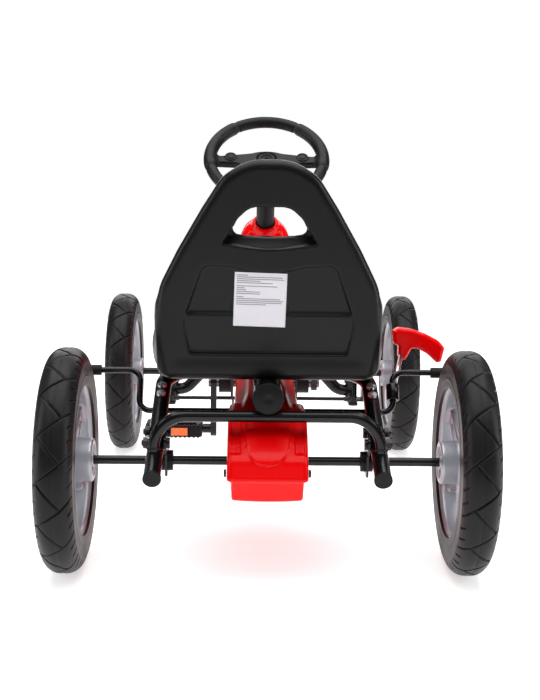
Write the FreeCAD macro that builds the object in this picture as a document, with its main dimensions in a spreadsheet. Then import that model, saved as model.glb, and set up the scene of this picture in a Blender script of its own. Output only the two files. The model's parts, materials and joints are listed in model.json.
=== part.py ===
"""Child's pedal go kart, as a parametric FreeCAD document of separate sub-parts.

Units are millimetres. +X is the kart's right, +Y is forward and +Z is up. The origin is on
the ground, midway between the axles and between the wheels.
"""
import FreeCAD, Part
import math
import os
import Sketcher
from FreeCAD import Placement, Rotation, Vector

# Driving dimensions. Names ending in _y are distances ahead of the rear axle.
DIMENSIONS = {
    "wheelbase": 750,
    "wheel_centre_x": 266,
    "axle_height": 150,
    # wheels
    "tyre_radius": 150,
    "tyre_width": 49,
    "tyre_wall": 6,
    "rim_radius": 102,
    "rim_width": 40,
    "rim_wall": 6,
    "spoke_width": 27,
    "spoke_thickness": 15,
    "spoke_count": 6,
    "rear_hub_radius": 29,
    "front_hub_radius": 25,
    "hub_inner_x": 231,
    "hub_outer_x": 288,
    # rear axle
    "axle_radius": 6,
    "axle_half_length": 298,
    "bearing_radius": 13.5,
    "bearing_width": 16,
    "running_clearance": 0.05,
    # main beam and rails
    "beam_radius": 19,
    "tube_wall": 2,
    "beam_height": 248,
    "beam_rear_y": -70,
    "beam_front_y": 725,
    "cap_radius": 20,
    "cap_thickness": 5,
    "rail_radius": 11,
    "rail_x": 146,
    "rail_rear_y": -97,
    "rail_rear_height": 150,
    "rail_slope": 21.9,
    "rail_bend": 42,
    "bumper_radius": 7.5,
    "bumper_y": -56,
    "bumper_height": 221.5,
    "bumper_bend": 42,
    # chain drive
    "chain_pitch": 12.7,
    "rear_teeth": 13,
    "crank_teeth": 18,
    "crank_y": 450,
    "crank_height": 180,
    "crank_length": 80,
    "crank_arm_x": 80,
    "crank_arm_thickness": 10,
    "spindle_radius": 8,
    "crank_bearing_radius": 17,
    "crank_leg_x": 52,
    "cover_rear_half_width": 53,
    "cover_front_half_width": 49,
    "cover_wall": 3,
    # pedals
    "pedal_inner_x": 104,
    "pedal_length": 95,
    "pedal_depth": 60,
    "pedal_thickness": 23,
    "pedal_pin_radius": 5,
    # steering
    "steering_tilt": 42,
    "wheel_y": 400,
    "wheel_height": 555,
    "wheel_rim_radius": 91.5,
    "wheel_grip_radius": 9,
    "column_radius": 11,
    "column_sleeve_radius": 15,
    "column_length": 498,
    "head_radius": 15.5,
    "head_top": 374,
    "head_length": 80,
    "steering_arm": 50,
    "kingpin_x": 174,
    "kingpin_radius": 5,
    "kingpin_tube_radius": 11.5,
    "kingpin_bottom": 100,
    "kingpin_top": 131,
    "tie_rod_height": 107,
    "front_beam_radius": 11,
    "front_beam_height": 156,
    "stub_radius": 5,
    # seat
    "seat_lean": 9,
    "seat_bottom": 268.6,
    "seat_rear_y": -30,
    "seat_height": 283,
    "seat_back_thickness": 24,
    "pan_bottom": 272.5,
    "pan_thickness": 10,
    "sleeve_radius": 22.5,
    "sleeve_clearance": 0.3,
    "sleeve_rear_y": 172,
    "sleeve_length": 124,
    "bolster_x": 138,
    "bolster_thickness": 16,
    # hand brake
    "brake_y": 100,
    "brake_height": 198,
    "brake_bar_radius": 4.25,
    "brake_tilt": 60.3,
    "brake_rise": 60.5,
    "brake_bend": 16,
    "brake_step_x": 180,
    "brake_half_length": 290,
    "brake_sleeve_radius": 7.5,
    "brake_sleeve_x": 236,
}

doc = FreeCAD.newDocument("PedalGoKart")
sheet = doc.addObject("Spreadsheet::Sheet", "Dims")
NODES = {}


class Size:
    """A length that holds both its value and the spreadsheet expression behind it."""

    def __init__(self, value, text):
        self.value = float(value)
        self.text = text

    def __add__(self, other):
        other = size(other)
        return Size(self.value + other.value, f"({self.text} + {other.text})")

    def __sub__(self, other):
        other = size(other)
        return Size(self.value - other.value, f"({self.text} - {other.text})")

    def __mul__(self, factor):
        return Size(self.value * factor, f"({self.text} * {factor:.6f})")

    def __truediv__(self, factor):
        return Size(self.value / factor, f"({self.text} / {factor:.6f})")

    def __neg__(self):
        return Size(-self.value, f"(-1 * {self.text})")

    def __radd__(self, other):
        return size(other) + self

    def __rsub__(self, other):
        return size(other) - self

    __rmul__ = __mul__


def size(number):
    """A Size, from a Size or a plain number."""
    if isinstance(number, Size):
        return number
    return Size(number, f"({number:.6f})")


def fill_sheet():
    """Write the driving dimensions into the spreadsheet, one row each."""
    for row, (name, value) in enumerate(DIMENSIONS.items(), start=1):
        sheet.set(f"A{row}", name)
        sheet.set(f"B{row}", str(value))
        sheet.setAlias(f"B{row}", name)
    doc.recompute()


def dim(name):
    """A driving dimension, read back from the spreadsheet."""
    return Size(sheet.get(name), f"Dims.{name}")


def from_rear(distance):
    """The Y position that far ahead of the rear axle."""
    return size(distance) - dim("wheelbase") / 2


def from_front(distance):
    """The Y position that far ahead of the front axle."""
    return size(distance) + dim("wheelbase") / 2


def bind(item, prop, length):
    """Set a property to a length and bind it to the spreadsheet."""
    item.setExpression(prop, size(length).text)


def vector(point):
    """A FreeCAD vector from three lengths."""
    return Vector(*(size(c).value for c in point))


def place(item, point, rotation=None):
    """Put an object at a point made of lengths, and bind the point."""
    item.Placement = Placement(vector(point), rotation or Rotation())
    for letter, length in zip("xyz", point):
        if isinstance(length, Size):
            bind(item, f"Placement.Base.{letter}", length)
    return item


def node(name, item):
    """Record a finished sub-part under the name of its file."""
    item.Label = name
    NODES[name] = item
    return item


# ---- Part primitives and booleans ---------------------------------------------------------

TURNS = {
    "X": Rotation(Vector(0, 1, 0), 90),
    "Y": Rotation(Vector(1, 0, 0), -90),
    "Z": Rotation(),
}


def cylinder(radius, length, start, axis="Z"):
    """A cylinder that runs from its start point along an axis, or along a rotation's Z."""
    item = doc.addObject("Part::Cylinder", "Cylinder")
    bind(item, "Radius", radius)
    bind(item, "Height", length)
    turn = TURNS[axis] if isinstance(axis, str) else axis
    return place(item, start, turn)


def box(low, high):
    """A box between two corners."""
    item = doc.addObject("Part::Box", "Box")
    for prop, a, b in zip(("Length", "Width", "Height"), low, high):
        bind(item, prop, size(b) - a)
    return place(item, low)


def fuse(*items):
    """One solid from several that meet."""
    item = doc.addObject("Part::MultiFuse", "Fuse")
    item.Shapes = list(items)
    return item


def group(*items):
    """Separate solids kept as one sub-part."""
    item = doc.addObject("Part::Compound", "Group")
    item.Links = list(items)
    return item


def cut(base, *tools):
    """The base with each tool taken away in turn."""
    for tool in tools:
        item = doc.addObject("Part::Cut", "Cut")
        item.Base = base
        item.Tool = tool
        base = item
    return base


def tube(outer, inner, length, start, axis="Z"):
    """A straight tube."""
    return cut(cylinder(outer, length, start, axis), cylinder(inner, length, start, axis))


def rod_between(radius, start, end):
    """A round rod from one point to another."""
    run = vector(end) - vector(start)
    return cylinder(radius, run.Length, start, Rotation(Vector(0, 0, 1), run))


def hexagon(across_flats, length, start, side):
    """A hexagonal nut or bolt head whose axis is X, growing outwards on the given side."""
    item = doc.addObject("Part::Prism", "Hexagon")
    item.Polygon = 6
    bind(item, "Circumradius", size(across_flats) / math.sqrt(3))
    bind(item, "Height", length)
    return place(item, start, Rotation(Vector(0, 1, 0), 90 * side))


# ---- sketches -----------------------------------------------------------------------------


def new_body(name):
    """An empty PartDesign body."""
    return doc.addObject("PartDesign::Body", name)


def sketch_on(body, role, offset=None):
    """A sketch on one of the body's own origin planes, moved along its normal if asked."""
    sketch = body.newObject("Sketcher::SketchObject", "Sketch")
    plane = next(f for f in body.Origin.OriginFeatures if f.Role == role)
    sketch.AttachmentSupport = [(plane, "")]
    sketch.MapMode = "FlatFace"
    if offset is not None:
        bind(sketch, "AttachmentOffset.Base.z", offset)
    return sketch


def pin_point(sketch, index, position, x, y):
    """Fix a point of a sketch's geometry at bound distances from the origin."""
    for kind, length in (("DistanceX", x), ("DistanceY", y)):
        length = size(length)
        constraint = Sketcher.Constraint(kind, -1, 1, index, position, length.value)
        number = sketch.addConstraint(constraint)
        sketch.setExpression(f"Constraints[{number}]", length.text)


def circle(sketch, x, y, radius):
    """A circle with a bound centre and radius."""
    x, y, radius = size(x), size(y), size(radius)
    shape = Part.Circle(Vector(x.value, y.value, 0), Vector(0, 0, 1), radius.value)
    index = sketch.addGeometry(shape)
    pin_point(sketch, index, 3, x, y)
    number = sketch.addConstraint(Sketcher.Constraint("Radius", index, radius.value))
    sketch.setExpression(f"Constraints[{number}]", radius.text)


class Bend:
    """The arc that rounds one corner of a path, from the run before it to the run after it."""

    def __init__(self, sketch, before, corner, after, radius):
        back = (before - corner).normalize()
        ahead = (after - corner).normalize()
        half_angle = back.getAngle(ahead) / 2
        reach = radius.value / math.tan(half_angle)
        centre = corner + (back + ahead).normalize() * (radius.value / math.sin(half_angle))
        self.radius = radius
        self.start = corner + back * reach
        self.end = corner + ahead * reach
        turns_left = back.cross(ahead).z < 0
        self.entry, self.exit = (1, 2) if turns_left else (2, 1)
        first, last = (self.start, self.end) if turns_left else (self.end, self.start)
        angles = [math.atan2(p.y - centre.y, p.x - centre.x) for p in (first, last)]
        around = Part.Circle(centre, Vector(0, 0, 1), radius.value)
        self.index = sketch.addGeometry(Part.ArcOfCircle(around, *angles))


def rounded_line(sketch, corners, closed):
    """Straight runs between corners, each corner (x, y, radius) rounded by a tangent arc.

    A radius of 0 leaves the corner sharp. An open line's two ends have no radius.
    """
    count = len(corners)
    points = [vector((x, y, 0)) for x, y, _ in corners]
    bends = []
    for i, (_, _, radius) in enumerate(corners):
        radius = size(radius)
        rounded = radius.value > 0 and (closed or 0 < i < count - 1)
        neighbours = points[i - 1], points[i], points[(i + 1) % count]
        bends.append(Bend(sketch, *neighbours, radius) if rounded else None)
    runs = []
    for i in range(count if closed else count - 1):
        j = (i + 1) % count
        start = bends[i].end if bends[i] else points[i]
        end = bends[j].start if bends[j] else points[j]
        runs.append(sketch.addGeometry(Part.LineSegment(start, end)))
    for i, (x, y, _) in enumerate(corners):
        before = runs[i - 1] if closed or i > 0 else None
        after = runs[i] if i < len(runs) else None
        if bends[i]:
            fix_bend(sketch, bends[i], before, after, x, y)
            continue
        if before is not None and after is not None:
            sketch.addConstraint(Sketcher.Constraint("Coincident", before, 2, after, 1))
        if after is not None:
            pin_point(sketch, after, 1, x, y)
        else:
            pin_point(sketch, before, 2, x, y)
    return runs, [bend.index for bend in bends if bend]


def fix_bend(sketch, bend, before, after, x, y):
    """Constrain a bend tangent to both its runs, which meet at a bound corner point."""
    corner = vector((x, y, 0))
    mark = sketch.addGeometry(Part.Point(corner), True)
    pin_point(sketch, mark, 1, x, y)
    for run in (before, after):
        sketch.addConstraint(Sketcher.Constraint("PointOnObject", mark, 1, run))
    sketch.addConstraint(Sketcher.Constraint("Tangent", before, 2, bend.index, bend.entry))
    sketch.addConstraint(Sketcher.Constraint("Tangent", after, 1, bend.index, bend.exit))
    radius = Sketcher.Constraint("Radius", bend.index, bend.radius.value)
    sketch.setExpression(f"Constraints[{sketch.addConstraint(radius)}]", bend.radius.text)


def outline(sketch, corners, radius=0):
    """A closed outline; corners are (x, y), or (x, y, radius) where one differs."""
    full = [corner if len(corner) == 3 else (*corner, radius) for corner in corners]
    rounded_line(sketch, full, closed=True)


def pad(body, sketch, length, midplane=False, backwards=False):
    """A pad of a bound length."""
    feature = body.newObject("PartDesign::Pad", "Pad")
    feature.Profile = sketch
    feature.Midplane = midplane
    feature.Reversed = backwards
    bind(feature, "Length", length)
    return feature


def pocket_through(body, sketch):
    """A pocket through the whole body, both ways, checked for having cut something."""
    doc.recompute()
    before = body.Shape.Volume
    feature = body.newObject("PartDesign::Pocket", "Pocket")
    feature.Profile = sketch
    feature.Type = "ThroughAll"
    feature.Midplane = True
    doc.recompute()
    if not body.Shape.Volume < before:
        raise RuntimeError(f"a pocket in {body.Name} cut nothing")
    return feature


def pocket(body, sketch, length, backwards=False):
    """A pocket of a bound depth, checked for having cut something."""
    doc.recompute()
    before = body.Shape.Volume
    feature = body.newObject("PartDesign::Pocket", "Pocket")
    feature.Profile = sketch
    feature.Reversed = backwards
    bind(feature, "Length", length)
    doc.recompute()
    if not body.Shape.Volume < before:
        raise RuntimeError(f"a pocket in {body.Name} cut nothing")
    return feature


def slot_outline(sketch, x1, y1, x2, y2, radius):
    """A slot with round ends about two points on a line parallel to the sketch's Y."""
    r = size(radius)
    near = r * 0.999
    corners = [(x1 - r, y1 - r), (x2 + r, y1 - r), (x2 + r, y2 + r), (x1 - r, y2 + r)]
    outline(sketch, [(x, y, near) for x, y in corners])


def bent_tube(name, role, corners, bend, outer, inner=None):
    """A tube, or a bar where no inner radius is given, along a planar rounded path."""
    body = new_body(name)
    path = sketch_on(body, role)
    full = [(x, y, bend) for x, y in corners]
    runs, bends = rounded_line(path, full, closed=False)
    doc.recompute()
    profile = body.newObject("Sketcher::SketchObject", "Profile")
    profile.AttachmentSupport = [(path, edge_of(path, runs[0]))]
    profile.MapMode = "NormalToEdge"
    circle(profile, 0, 0, outer)
    if inner is not None:
        circle(profile, 0, 0, inner)
    doc.recompute()
    sweep = body.newObject("PartDesign::AdditivePipe", "Pipe")
    sweep.Profile = profile
    sweep.Spine = (path, [edge_of(path, index) for index in order_runs(runs, bends)])
    return body


def order_runs(runs, bends):
    """The runs and bends of a path, in the order a pipe follows them."""
    ordered = [runs[0]]
    for bend, run in zip(bends, runs[1:]):
        ordered += [bend, run]
    return ordered


def edge_of(sketch, index):
    """The shape's edge name for a sketched line or arc."""
    solid = [i for i in range(len(sketch.Geometry)) if not sketch.getConstruction(i)]
    return f"Edge{solid.index(index) + 1}"


def revolve(body, corners, role="XY_Plane", axis="H_Axis", groove=False):
    """A revolution of an outline about one of its sketch's axes, or a groove like it."""
    sketch = sketch_on(body, role)
    outline(sketch, corners)
    doc.recompute()
    kind = "PartDesign::Groove" if groove else "PartDesign::Revolution"
    before = body.Shape.Volume if groove else 0.0
    feature = body.newObject(kind, "Turned")
    feature.Profile = sketch
    feature.ReferenceAxis = (sketch, [axis])
    feature.Angle = 360
    doc.recompute()
    if groove and not body.Shape.Volume < before:
        raise RuntimeError(f"a groove in {body.Name} cut nothing")
    return feature


# ---- wheels -------------------------------------------------------------------------------


def tyre(name, side, y):
    """A pneumatic tyre: a hollow casing, open at its beads, turned about the wheel's axis."""
    body = new_body(name)
    half = dim("tyre_width") / 2
    outer = dim("tyre_radius")
    bead = dim("rim_radius")
    wall = dim("tyre_wall")
    outside = [
        (-half, bead, 4),
        (half, bead, 4),
        (half, outer, 21),
        (-half, outer, 21),
    ]
    inside = [
        (wall - half, bead - 3, 0),
        (half - wall, bead - 3, 0),
        (half - wall, outer - wall, 15),
        (wall - half, outer - wall, 15),
    ]
    revolve(body, outside)
    revolve(body, inside, groove=True)
    place(body, (dim("wheel_centre_x") * side, y, dim("axle_height")))
    return node(name, body)


def rim(name, side, y, hub_radius, bore):
    """A moulded wheel: rim ring, hub barrel and broad spokes, bored for its axle."""
    body = new_body(name)
    half = dim("rim_width") / 2
    inner = dim("rim_radius") - dim("rim_wall")
    hub_in = (dim("wheel_centre_x") - dim("hub_inner_x")) * -side
    hub_out = (dim("hub_outer_x") - dim("wheel_centre_x")) * side
    revolve(body, [(-half, inner), (half, inner), (half, dim("rim_radius")),
                   (-half, dim("rim_radius"))])
    revolve(body, [(hub_in, bore), (hub_out, bore), (hub_out, hub_radius), (hub_in, hub_radius)])
    spoke = sketch_on(body, "YZ_Plane")
    reach = dim("spoke_width") / 2
    outline(spoke, [(-reach, hub_radius - 3), (reach, hub_radius - 3),
                    (reach * 0.8, inner + 2), (reach * -0.8, inner + 2)])
    first = pad(body, spoke, dim("spoke_thickness"), midplane=True)
    doc.recompute()
    ring = body.newObject("PartDesign::PolarPattern", "Spokes")
    ring.Originals = [first]
    ring.Axis = (spoke, ["N_Axis"])
    ring.Angle = 360
    ring.Occurrences = int(dim("spoke_count").value)
    ring.setExpression("Occurrences", "Dims.spoke_count")
    body.Tip = ring
    place(body, (dim("wheel_centre_x") * side, y, dim("axle_height")))
    return node(name, body)


def rear_wheels_and_axle():
    """The live rear axle with both wheels, its nuts and the driven sprocket."""
    y = from_rear(0)
    radius = dim("axle_radius")
    half = dim("axle_half_length")
    height = dim("axle_height")
    node("rear_axle", cylinder(radius, half * 2, (-half, y, height), "X"))
    nuts = []
    for side, name in ((-1, "left"), (1, "right")):
        tyre(f"rear_tyre_{name}", side, y)
        rim(f"rear_rim_{name}", side, y, dim("rear_hub_radius"), radius)
        nut = hexagon(19, 8, (dim("hub_outer_x") * side, y, height), side)
        nuts.append(cut(nut, cylinder(radius, half * 2, (-half, y, height), "X")))
    node("rear_axle_nuts", group(*nuts))
    sprocket("rear_sprocket", "rear_teeth", y, height, 15, radius, 20)


def sprocket(name, teeth_cell, y, height, hub_radius, bore, hub_width):
    """A toothed wheel in the plane X = 0 whose teeth stand between the chain's plates."""
    teeth = dim(teeth_cell)
    pitch_radius = sprocket_radius(teeth_cell)
    body = new_body(name)
    disc = sketch_on(body, "YZ_Plane")
    circle(disc, 0, 0, pitch_radius - 4)
    pad(body, disc, 3, midplane=True)
    hub = sketch_on(body, "YZ_Plane")
    circle(hub, 0, 0, hub_radius)
    pad(body, hub, hub_width, midplane=True)
    tooth = sketch_on(body, "YZ_Plane")
    outline(tooth, [(-3.4, pitch_radius - 5), (3.4, pitch_radius - 5),
                    (1.2, pitch_radius + 3), (-1.2, pitch_radius + 3)])
    first = pad(body, tooth, 3, midplane=True)
    doc.recompute()
    ring = body.newObject("PartDesign::PolarPattern", "Teeth")
    ring.Originals = [first]
    ring.Axis = (tooth, ["N_Axis"])
    ring.Angle = 360
    ring.Occurrences = int(teeth.value)
    ring.setExpression("Occurrences", teeth.text)
    body.Tip = ring
    hole = sketch_on(body, "YZ_Plane")
    circle(hole, 0, 0, bore)
    pocket_through(body, hole)
    place(body, (0, y, height))
    return node(name, body)


def sprocket_radius(teeth_cell):
    """Pitch radius of a sprocket, bound to the chain's pitch and its own tooth count."""
    pitch = dim("chain_pitch")
    teeth = dim(teeth_cell)
    value = pitch.value / (2 * math.sin(math.pi / teeth.value))
    return Size(value, f"({pitch.text} / (2 * sin(180 / {teeth.text})))")


# ---- welded frame -------------------------------------------------------------------------


def beam_cylinder(extra=0):
    """The main beam's outer cylinder, used to cope the tubes that meet it."""
    start = (0, from_rear(dim("beam_rear_y")), dim("beam_height"))
    length = dim("beam_front_y") - dim("beam_rear_y")
    return cylinder(dim("beam_radius") + extra, length, start, "Y")


def rail_frame(x):
    """Placement values of a rail: its rear end and the turn that raises its front."""
    point = (x, from_rear(dim("rail_rear_y")), dim("rail_rear_height"))
    return point, Rotation(Vector(1, 0, 0), dim("rail_slope").value)


def rail_height(y):
    """Height of the rails' centre line that far ahead of the rear axle."""
    slope = math.tan(math.radians(dim("rail_slope").value))
    return dim("rail_rear_height") + (size(y) - dim("rail_rear_y")) * slope


def rail_cylinder(side):
    """The straight part of a rail as a solid bar, used to cope the bumper."""
    point, turn = rail_frame(dim("rail_x") * side)
    return cylinder(dim("rail_radius"), 200, point, turn.multiply(TURNS["Y"]))


def main_beam():
    """The central tube, pierced for the steering head."""
    start = (0, from_rear(dim("beam_rear_y")), dim("beam_height"))
    length = dim("beam_front_y") - dim("beam_rear_y")
    hollow = cylinder(dim("beam_radius") - dim("tube_wall"), length, start, "Y")
    node("main_beam", cut(beam_cylinder(), hollow, head_cylinder()))


def beam_caps():
    """Plastic caps pushed into both ends of the main beam."""
    caps = []
    height = dim("beam_height")
    inside = dim("beam_radius") - dim("tube_wall")
    ends = ((dim("beam_rear_y") - dim("cap_thickness"), dim("beam_rear_y")),
            (dim("beam_front_y"), dim("beam_front_y") - 12))
    for cap_y, plug_y in ends:
        disc = cylinder(dim("cap_radius"), dim("cap_thickness"), (0, from_rear(cap_y), height), "Y")
        plug = cylinder(inside, 12, (0, from_rear(plug_y), height), "Y")
        caps.append(fuse(disc, plug))
    node("beam_caps", group(*caps))


def rails():
    """Left and right rails: each rises forwards, then turns in to the beam."""
    rise = dim("beam_height") - dim("rail_rear_height")
    reach = rise / math.sin(math.radians(dim("rail_slope").value))
    radius = dim("rail_radius")
    for side, name in ((-1, "left_rail"), (1, "right_rail")):
        x = dim("rail_x") * side
        corners = [(x, 0), (x, reach), (8 * side, reach)]
        body = bent_tube(name, "XY_Plane", corners, dim("rail_bend"), radius,
                         radius - dim("tube_wall"))
        point, turn = rail_frame(0)
        place(body, point, turn)
        node(name, cut(body, beam_cylinder(), *hanger_bolt_bars(side), *bracket_bolt_bars(side)))


def rail_caps():
    """Round plastic caps on the rails' rear ends."""
    caps = []
    radius = dim("rail_radius")
    for side in (-1, 1):
        point, turn = rail_frame(dim("rail_x") * side)
        along = turn.multiply(TURNS["Y"])
        back = turn.multVec(Vector(0, -4, 0))
        start = (point[0], point[1] + back.y, point[2] + back.z)
        disc = cylinder(radius + 0.8, 4, start, along)
        plug = cylinder(radius - dim("tube_wall"), 12, point, along)
        caps.append(fuse(disc, plug))
    node("rail_caps", group(*caps))


def rear_bumper():
    """The bent bar behind the seat, coped to the rails at its feet."""
    x = dim("rail_x") + 1
    top = dim("bumper_height")
    foot = rail_height(dim("bumper_y"))
    radius = dim("bumper_radius")
    corners = [(-x, foot), (-x, top), (x, top), (x, foot)]
    body = bent_tube("rear_bumper", "XZ_Plane", corners, dim("bumper_bend"), radius,
                     radius - dim("tube_wall"))
    place(body, (0, from_rear(dim("bumper_y")), 0))
    node("rear_bumper", cut(body, rail_cylinder(-1), rail_cylinder(1)))


# ---- rear axle bearings -------------------------------------------------------------------

HANGER_BOLTS_Y = (0, -25)
HANGER_THICKNESS = 3


def hanger_bolt_bars(side):
    """The shanks of the bolts that hold an axle hanger to its rail."""
    bars = []
    inner = dim("rail_x") - dim("rail_radius") - HANGER_THICKNESS
    length = 33
    start = inner if side > 0 else -inner - length
    for y in HANGER_BOLTS_Y:
        bars.append(cylinder(4, length, (start, from_rear(y), rail_height(y)), "X"))
    return bars


def axle_hangers():
    """The plates inside the rails that carry the rear axle's bearings."""
    plates = []
    inner = dim("rail_x") - dim("rail_radius") - HANGER_THICKNESS
    for side, name in ((-1, "left"), (1, "right")):
        body = new_body(f"hanger_{name}")
        face = sketch_on(body, "YZ_Plane")
        axle = dim("axle_height")
        outline(face, [(-38, axle + 24), (-38, axle + 36), (6, axle + 55), (18, axle + 40),
                       (21, axle - 17), (-19, axle - 19), (-20, axle + 10)], 6)
        circle(face, 0, axle, dim("bearing_radius"))
        for y in HANGER_BOLTS_Y:
            circle(face, y, rail_height(y), 4)
        pad(body, face, HANGER_THICKNESS, backwards=side < 0)
        plates.append(place(body, (inner * side, from_rear(0), 0)))
    node("axle_hangers", group(*plates))


def axle_bearings():
    """Flanged sleeve bearings of the rear axle, one in each hanger."""
    rings = []
    bore = dim("axle_radius") + dim("running_clearance")
    width = dim("bearing_width")
    middle = dim("rail_x") - dim("rail_radius") - HANGER_THICKNESS / 2
    for side in (-1, 1):
        start = (middle * side - width / 2, from_rear(0), dim("axle_height"))
        rings.append(tube(dim("bearing_radius"), bore, width, start, "X"))
    node("axle_bearings", group(*rings))


def hanger_bolts():
    """Bolts through the rails: round heads inside, spacer and nut outside."""
    bolts = []
    inner = dim("rail_x") - dim("rail_radius") - HANGER_THICKNESS
    outer = dim("rail_x") + dim("rail_radius")
    for side in (-1, 1):
        for bar, y in zip(hanger_bolt_bars(side), HANGER_BOLTS_Y):
            height = rail_height(y)
            head_start = inner - 4 if side > 0 else -inner
            head = cylinder(7, 4, (head_start, from_rear(y), height), "X")
            nut = hexagon(13, 6, (outer * side, from_rear(y), height), side)
            bolts.append(fuse(bar, head, nut))
    node("hanger_bolts", group(*bolts))


# ---- hand brake ---------------------------------------------------------------------------

BRACKET_BOLTS_Y = (70, 90)


def bracket_bolt_bars(side):
    """The shanks that fasten a brake bracket up into its rail, square to the rail."""
    bars = []
    turn = Rotation(Vector(1, 0, 0), dim("rail_slope").value)
    down = turn.multVec(Vector(0, 0, -20))
    for y in BRACKET_BOLTS_Y:
        start = (dim("rail_x") * side, from_rear(y) + down.y, rail_height(y) + down.z)
        bars.append(cylinder(3, 20 + dim("rail_radius"), start, turn))
    return bars


def brake_brackets():
    """Blocks under the rails in which the brake bar turns."""
    blocks = []
    for side, name in ((-1, "left"), (1, "right")):
        body = new_body(f"bracket_{name}")
        face = sketch_on(body, "YZ_Plane")
        drop = dim("rail_radius") / math.cos(math.radians(dim("rail_slope").value))
        rear, front = 60, 114
        outline(face, [(rear, rail_height(rear) - drop), (rear, rail_height(rear) - drop - 9),
                       (88, dim("brake_height") - 10, 6), (front, dim("brake_height") - 10, 6),
                       (front, rail_height(front) - drop)])
        circle(face, dim("brake_y"), dim("brake_height"),
               dim("brake_bar_radius") + dim("running_clearance"))
        pad(body, face, 14, midplane=True)
        place(body, (dim("rail_x") * side, from_rear(0), 0))
        blocks.append(cut(body, *bracket_bolt_bars(side)))
    node("brake_brackets", group(*blocks))


def bracket_bolts():
    """Bolts of the brake brackets, their heads on top of the rails."""
    bolts = []
    turn = Rotation(Vector(1, 0, 0), dim("rail_slope").value)
    for side in (-1, 1):
        for bar, y in zip(bracket_bolt_bars(side), BRACKET_BOLTS_Y):
            up = turn.multVec(Vector(0, 0, dim("rail_radius").value))
            start = (dim("rail_x") * side, from_rear(y) + up.y, rail_height(y) + up.z)
            bolts.append(fuse(bar, cylinder(6, 4, start, turn)))
    node("bracket_bolts", group(*bolts))


def brake_frame():
    """Placement values of the brake bar's plane, which holds its pivot line."""
    point = (0, from_rear(dim("brake_y")), dim("brake_height"))
    return point, Rotation(Vector(1, 0, 0), dim("brake_tilt").value)


def brake_bar():
    """One bent bar: it turns in the brackets, and its raised ends sit ahead of the tyres."""
    step, rise, end = dim("brake_step_x"), dim("brake_rise"), dim("brake_half_length")
    corners = [(-end, rise), (-step, rise), (-step, 0), (step, 0), (step, rise), (end, rise)]
    bar = bent_tube("brake_bar", "XY_Plane", corners, dim("brake_bend"), dim("brake_bar_radius"))
    point, turn = brake_frame()
    node("brake_bar", place(bar, point, turn))


def brake_sleeves():
    """Rubber sleeves on the brake bar's ends, which press on the tyres."""
    point, turn = brake_frame()
    offset = turn.multVec(Vector(0, dim("brake_rise").value, 0))
    start_x = dim("brake_sleeve_x")
    length = dim("brake_half_length") - start_x
    sleeves = []
    for side in (-1, 1):
        x = start_x if side > 0 else -dim("brake_half_length")
        start = (x, point[1] + offset.y, point[2] + offset.z)
        sleeves.append(tube(dim("brake_sleeve_radius"), dim("brake_bar_radius"), length, start, "X"))
    node("brake_sleeves", group(*sleeves))


def brake_lever():
    """The rod that carries the handle, clamped to the bar's right-hand step."""
    _, turn = brake_frame()
    along = turn.multiply(TURNS["Y"])
    clamp = cylinder(9, 24, up_brake_step(18), along)
    node("brake_lever", cut(fuse(lever_rod(), clamp), NODES["brake_bar"]))


def brake_handle():
    """The curved pull handle at the top of the lever."""
    body = new_body("brake_handle")
    face = sketch_on(body, "XZ_Plane")
    outline(face, [(184, 300, 5), (222, 307, 12), (249, 296, 12), (259, 272, 4), (247, 268, 4),
                   (233, 284, 8), (211, 284, 6), (208, 266, 4), (193, 266, 4), (194, 282, 4),
                   (184, 284, 4)])
    pad(body, face, 26, midplane=True)
    place(body, (0, from_rear(180), 0))
    node("brake_handle", cut(body, lever_rod()))


def up_brake_step(distance):
    """The point that far up the right-hand step of the brake bar."""
    point, turn = brake_frame()
    offset = turn.multVec(Vector(0, distance, 0))
    return (dim("brake_step_x"), point[1] + offset.y, point[2] + offset.z)


def lever_rod():
    """The lever's rod, from the brake bar up into the handle."""
    return rod_between(5, up_brake_step(30), (200, from_rear(178), 276))


# ---- chain drive --------------------------------------------------------------------------


def cover_corners(inset, cut_y=None):
    """The chain cover's side outline, moved inwards by a wall where asked.

    cut_y ends the outline there, for the wider rear part of the cover.
    """
    w = inset
    rear = [(-99 + w, 148), (-62 + w * 0.7, 107 + w)]
    top = [(-34 + w * 0.6, 212 - w), (-86 + w, 172 - w * 0.4)]
    if cut_y is None:
        front = [(480, 126 + w), (512 - w, 150), (512 - w, 205), (500 - w, 227 - w)]
        middle = [(120, 221 - w)]
        return rear + front + middle + top
    return rear + [(cut_y, 108 + w), (cut_y, 214 - w)] + top


def chain_covers():
    """Two moulded shells that meet on the kart's centre plane around the chain."""
    wall = dim("cover_wall")
    for side, name in ((-1, "chain_cover_left"), (1, "chain_cover_right")):
        body = new_body(name)
        backwards = side < 0
        depths = ((dim("cover_front_half_width"), None), (dim("cover_rear_half_width"), 70))
        for depth, cut_y in depths:
            face = sketch_on(body, "YZ_Plane")
            outline(face, cover_corners(0, cut_y), 8)
            pad(body, face, depth, backwards=backwards)
        for depth, cut_y in depths:
            face = sketch_on(body, "YZ_Plane")
            inner_cut = None if cut_y is None else cut_y - wall
            outline(face, cover_corners(wall, inner_cut), 6)
            pocket(body, face, depth - wall, backwards=not backwards)
        holes = sketch_on(body, "YZ_Plane")
        circle(holes, 0, dim("axle_height"), dim("axle_radius") + 3)
        circle(holes, dim("crank_y"), dim("crank_height"), dim("spindle_radius") + 3)
        circle(holes, dim("brake_y"), dim("brake_height"), dim("brake_bar_radius") + 2)
        pocket_through(body, holes)
        place(body, (0, from_rear(0), 0))
        node(name, body)


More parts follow.
